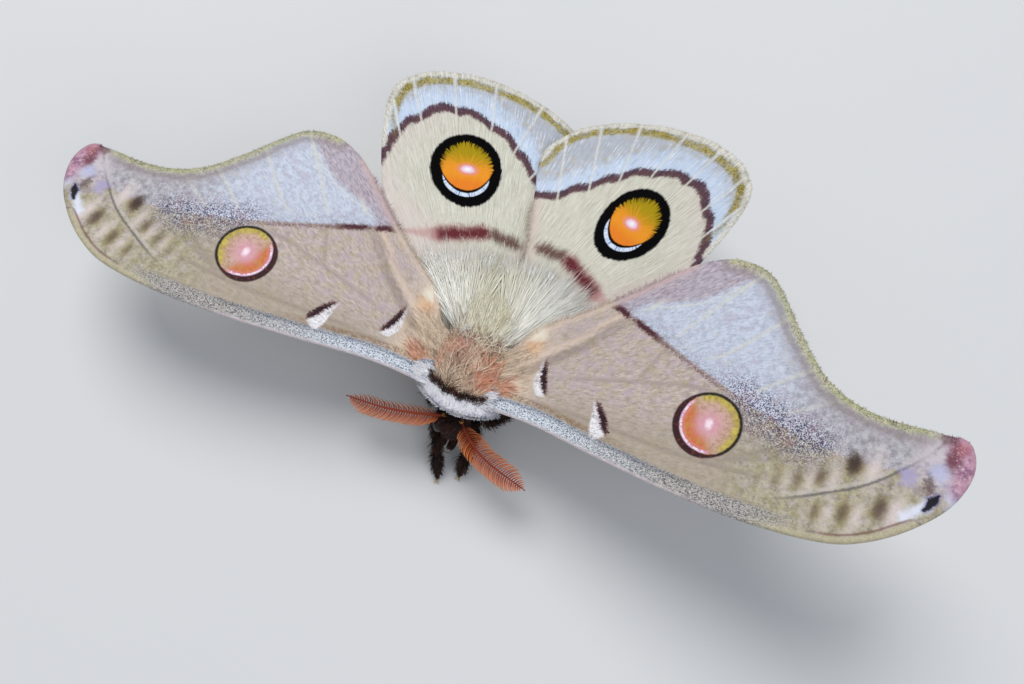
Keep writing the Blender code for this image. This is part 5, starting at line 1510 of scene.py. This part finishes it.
def abdomen_coat(material):
    """Soft short fur down the abdomen, which stands out a little at each ring."""
    count = 8600
    s = np.clip((1 - np.sqrt(RNG.random(count) * 0.95)) * 1.2, 0.01, 0.97)
    angle = RNG.uniform(-np.pi, np.pi, count)
    root, normal, ahead = frames_on(abdomen_point, abdomen_ring(s)[0], angle, s)
    keep = (root[:, 2] > 0.35) | (normal[:, 2] > -0.3)
    root, normal, ahead, s, angle = root[keep], normal[keep], ahead[keep], s[keep], angle[keep]
    lie = unit(ahead + RNG.normal(0, 0.16, (len(root), 3)))
    ring = np.abs(np.sin(np.pi * s * ABDOMEN_SEGMENTS))
    rise = RNG.uniform(0.25, 0.6, len(root)) * (0.75 + 0.35 * ring)
    zone = np.zeros((len(root), 3))
    zone[:, 2] = np.clip((root[:, 1] - 6.0) / 2.5, 0, 1)
    length = RNG.uniform(1.7, 2.8, len(root)) * np.interp(s, [0, 0.8, 1.0], [1.2, 0.9, 0.6])
    fur("coat_abdomen", material, "abdomen_fur", (root, normal), lie, length, 0.15, rise, zone,
        wrapped(angle, s, 0, 1), 0.12, 0.2, hug=0.03)
    count = 420
    angle = RNG.uniform(-np.pi, np.pi, count)
    s = RNG.uniform(0.93, 0.995, count)
    root, normal, _ = frames_on(abdomen_point, abdomen_ring(s)[0], angle, s)
    lie = unit(np.array([0.0, 1.0, 0.08]) - normal * 0.5 + RNG.normal(0, 0.12, (count, 3)))
    fur("coat_tail", material, "abdomen_fur", (root, normal), lie, RNG.uniform(0.8, 1.8, count), 0.13, 0.15,
        (0, 0, 1), wrapped(angle, s, 0, 1), 0.1, 0.3, hug=0.0)


def collar_coat(material):
    """The pale band behind the head: short hair that runs up and back over it, dark on its underside."""
    count = 6000
    line = collar_line()
    share = RNG.uniform(0, 1, count)
    where = share * (len(line) - 1)
    at = lambda rows: np.stack([np.interp(where, np.arange(len(line)), rows[:, k]) for k in range(3)], 1)
    tangent = unit(at(unit(np.gradient(line, axis=0))))
    back = unit(np.cross(COLLAR_FACE, tangent))
    up = np.cross(tangent, back)
    turn = RNG.uniform(-0.5, np.pi + 0.5, count)
    cos, sin = np.cos(turn)[:, None], np.sin(turn)[:, None]
    normal = unit(back * cos * 0.45 + up * sin)
    half = (1.05 * (1 - 0.25 * np.abs(share * 2 - 1) ** 3))[:, None]
    root = at(line) + back * half * cos + up * 0.47 * sin
    flow = unit(back * sin - up * cos * 0.45 + tangent * RNG.normal(0, 0.12, count)[:, None])
    under = np.sin(turn) < -0.05
    zone = np.stack([under, ~under, np.zeros(count)], 1)
    length = np.where(under, 0.45, RNG.uniform(0.7, 1.3, count))
    rise = np.where(under, 0.1, RNG.uniform(0.16, 0.3, count))
    places = np.stack([share, turn / 4.2 + 0.13], 1)
    fur("coat_collar", material, "pale_scales", (root, normal), flow, length, 0.13, rise, zone, places,
        0.1, 0.1, 0.08)


def comb_reach(s):
    """How long the rami are along the shaft of a feeler."""
    return RAMUS_LENGTH * min(1.0, (s + 0.09) / 0.25) * min(1.0, max(0.0, (0.97 - s) / 0.24)) ** 0.7


def antenna(side, material):
    """A feathered feeler: a tapering shaft, a pale root and two combs of curved flat rami."""
    plan = ANTENNAE[side]
    shaft = even(curve(plan["path"], 8), 0.25)
    stations = np.linspace(0, 1, len(shaft))
    shapes = [tube(shaft, SHAFT_RADIUS * (0.85 - 0.55 * stations), 8)]
    along = np.concatenate([[0.1], np.repeat(np.maximum(stations, 0.06), 8), [1]])
    data = [np.stack([along, 0 * along, 0 * along + 0.3], 1)]
    shapes.append(ball(np.array(plan["path"][0]), np.full(3, SCAPE_RADIUS * 0.68), 12, 16))
    data.append(np.zeros((len(shapes[1][0]), 3)))
    sign = 1 if side == "left" else -1
    radii = np.array([0.11, 0.15, 0.15, 0.13, 0.10, 0.04])
    for row, tilt in enumerate((plan["front"], plan["rear"])):
        for k in range(2 * RAMI_A_SIDE):
            s = 0.06 + 0.9 * (k + 0.5 * row) / (2 * RAMI_A_SIDE)
            where = s * (len(shaft) - 1)
            root = np.array([np.interp(where, np.arange(len(shaft)), shaft[:, c]) for c in range(3)])
            ahead = unit(shaft[min(int(where) + 1, len(shaft) - 1)] - shaft[int(where)])
            out = unit(np.cross(ahead, (0, 0, 1))) * sign * (1 - 2 * row)
            drop = math.radians(tilt) + (0.06 if k % 2 else -0.08)
            out = unit(out * math.cos(drop) + np.array([0, 0, math.sin(drop)]))
            reach = max(comb_reach(s) * (1.0 if k % 2 else 0.96), 0.3) * RNG.uniform(0.96, 1.03)
            lean = np.radians(6 + 50 * np.linspace(0.1, 1, 5))[:, None]
            steps = (out * np.cos(lean) + ahead * np.sin(lean)) * reach / 5 * 1.05
            path = root + np.vstack([[0, 0, 0], np.cumsum(steps, axis=0)])
            shapes.append(tube(path, radii * (0.98 - 0.2 * row), 6, 0.42, unit(np.cross(ahead, out))))
            part = np.concatenate([[0], np.repeat(np.linspace(0, 1, 6), 6), [1]])
            data.append(np.stack([0 * part + s, part, 0 * part + RNG.random()], 1))
    points, faces = joined(shapes)
    data = {"feeler": np.vstack(data)}
    mesh_piece("feeler_" + side, points, faces, material, "antenna", data, None, ["antenna_" + side])


def eyes():
    """Dark round eyes with fine facets."""
    look = Look("eye_facets", rough=0.2, specular=0.5)
    where = place_of(look)
    facets = look.cells(where, 9000.0)
    tint = look.noise(where, 900.0)
    material = look.finish(look.mix((20, 12, 9), (60, 38, 26), tint.ramp(0.4, 0.7)), facets, 0.00002)
    for side, sign in (("left", 1), ("right", -1)):
        points, faces = ball(HEAD + EYE_OUT * [sign, 1, 1], np.full(3, EYE_RADIUS), 40, 64)
        mesh_piece("eye_ball_" + side, points, faces, material, "eye", None, None, ["eye_" + side])


def claws():
    """A pair of small hooked claws on each foot."""
    look = Look("claw", rough=0.35, specular=0.5)
    tint = look.noise(place_of(look), 1500.0)
    material = look.finish(look.mix((150, 122, 72), (206, 186, 132), tint.ramp(0.35, 0.65)), tint, 0.00002)
    shapes = []
    for name in LEGS:
        ankle, toe = np.array(LEGS[name][4]), np.array(LEGS[name][5])
        ahead = unit((toe - ankle) * [1, 1, 0])
        across = np.array([-ahead[1], ahead[0], 0])
        for sign in (-1, 1):
            steps = ((-0.30, 0.06), (0.17, 0.22), (0.36, 0.30), (0.44, 0.32))
            path = np.array([toe + ahead * out + across * sign * wide for out, wide in steps])
            path[:, 2] = toe[2] + np.array([-0.02, 0.06, -0.06, -0.2])
            path[:, 2] = np.maximum(path[:, 2], 0.1)
            shapes.append(tube(curve(path, 4), np.linspace(0.13, 0.03, 13), 8))
    points, faces = joined(shapes)
    mesh_piece("claws", points, faces, material, "dark_fur")


def camera_and_light():
    """The camera, the pale floor and the soft studio light."""
    scene = bpy.context.scene
    data = bpy.data.cameras.new("camera")
    data.lens = LENS
    data.sensor_width = 36.0
    data.clip_start = 0.005
    data.clip_end = 20.0
    camera = bpy.data.objects.new("camera", data)
    turn = Matrix((CAMERA_RIGHT, CAMERA_UP, CAMERA_BACK)).transposed().to_4x4()
    camera.matrix_world = Matrix.Translation(metres(CAMERA_PLACE)) @ turn
    scene.collection.objects.link(camera)
    scene.camera = camera

    mesh = bpy.data.meshes.new("floor")
    corners = ((-1, -1), (1, -1), (1, 1), (-1, 1))
    mesh.from_pydata([(x * FLOOR_HALF, y * FLOOR_HALF, FLOOR_TOP) for x, y in corners], [], [(0, 1, 2, 3)])
    floor = bpy.data.objects.new("floor", mesh)
    look = Look("floor", rough=0.8, specular=0.1)
    cloud = look.noise(place_of(look), 9.0, 3.0)
    mesh.materials.append(look.finish(look.mix((214, 216, 219), (222, 223, 225), cloud)))
    scene.collection.objects.link(floor)

    world = bpy.data.worlds.new("studio")
    world.use_nodes = True
    back = world.node_tree.nodes["Background"]
    back.inputs["Color"].default_value = (0.86, 0.92, 1.0, 1.0)
    back.inputs["Strength"].default_value = 0.33
    scene.world = world
    for name, place, width, power, tint in (
            ("key", (-0.25, 0.35, 0.75), 0.6, 5.4, (1.0, 0.98, 0.95)),
            ("fill", (0.55, -0.35, 0.5), 0.7, 1.9, (0.93, 0.96, 1.0))):
        lamp = bpy.data.lights.new(name, "AREA")
        lamp.shape = "DISK"
        lamp.size = width
        lamp.energy = power
        lamp.color = tint
        obj = bpy.data.objects.new(name, lamp)
        obj.location = place
        obj.rotation_mode = "QUATERNION"
        obj.rotation_quaternion = (-Vector(place)).to_track_quat("-Z", "Y")
        scene.collection.objects.link(obj)
    scene.view_settings.view_transform = "Standard"


def main():
    camera_and_light()
    fore = forewing_look()
    hind = hindwing_look()
    feeler = antenna_look()
    for side in ("left", "right"):
        for plan, kind, material in ((FORE, "forewing", fore), (HIND, "hindwing", hind)):
            wing_sheet(plan, kind, side, material)
            fringes(plan, kind, side, material)
            wing_base_hair(plan, kind, side, material)
        white_tufts(side, fore)
        antenna(side, feeler)
    body = body_look()
    make_skin(body)
    thorax_coat(body)
    fan_flow(body)
    collar_ends(body)
    head_coat(body)
    leg_coat(body)
    abdomen_coat(body)
    collar_coat(body)
    fans(fan_look())
    eyes()
    claws()


main()
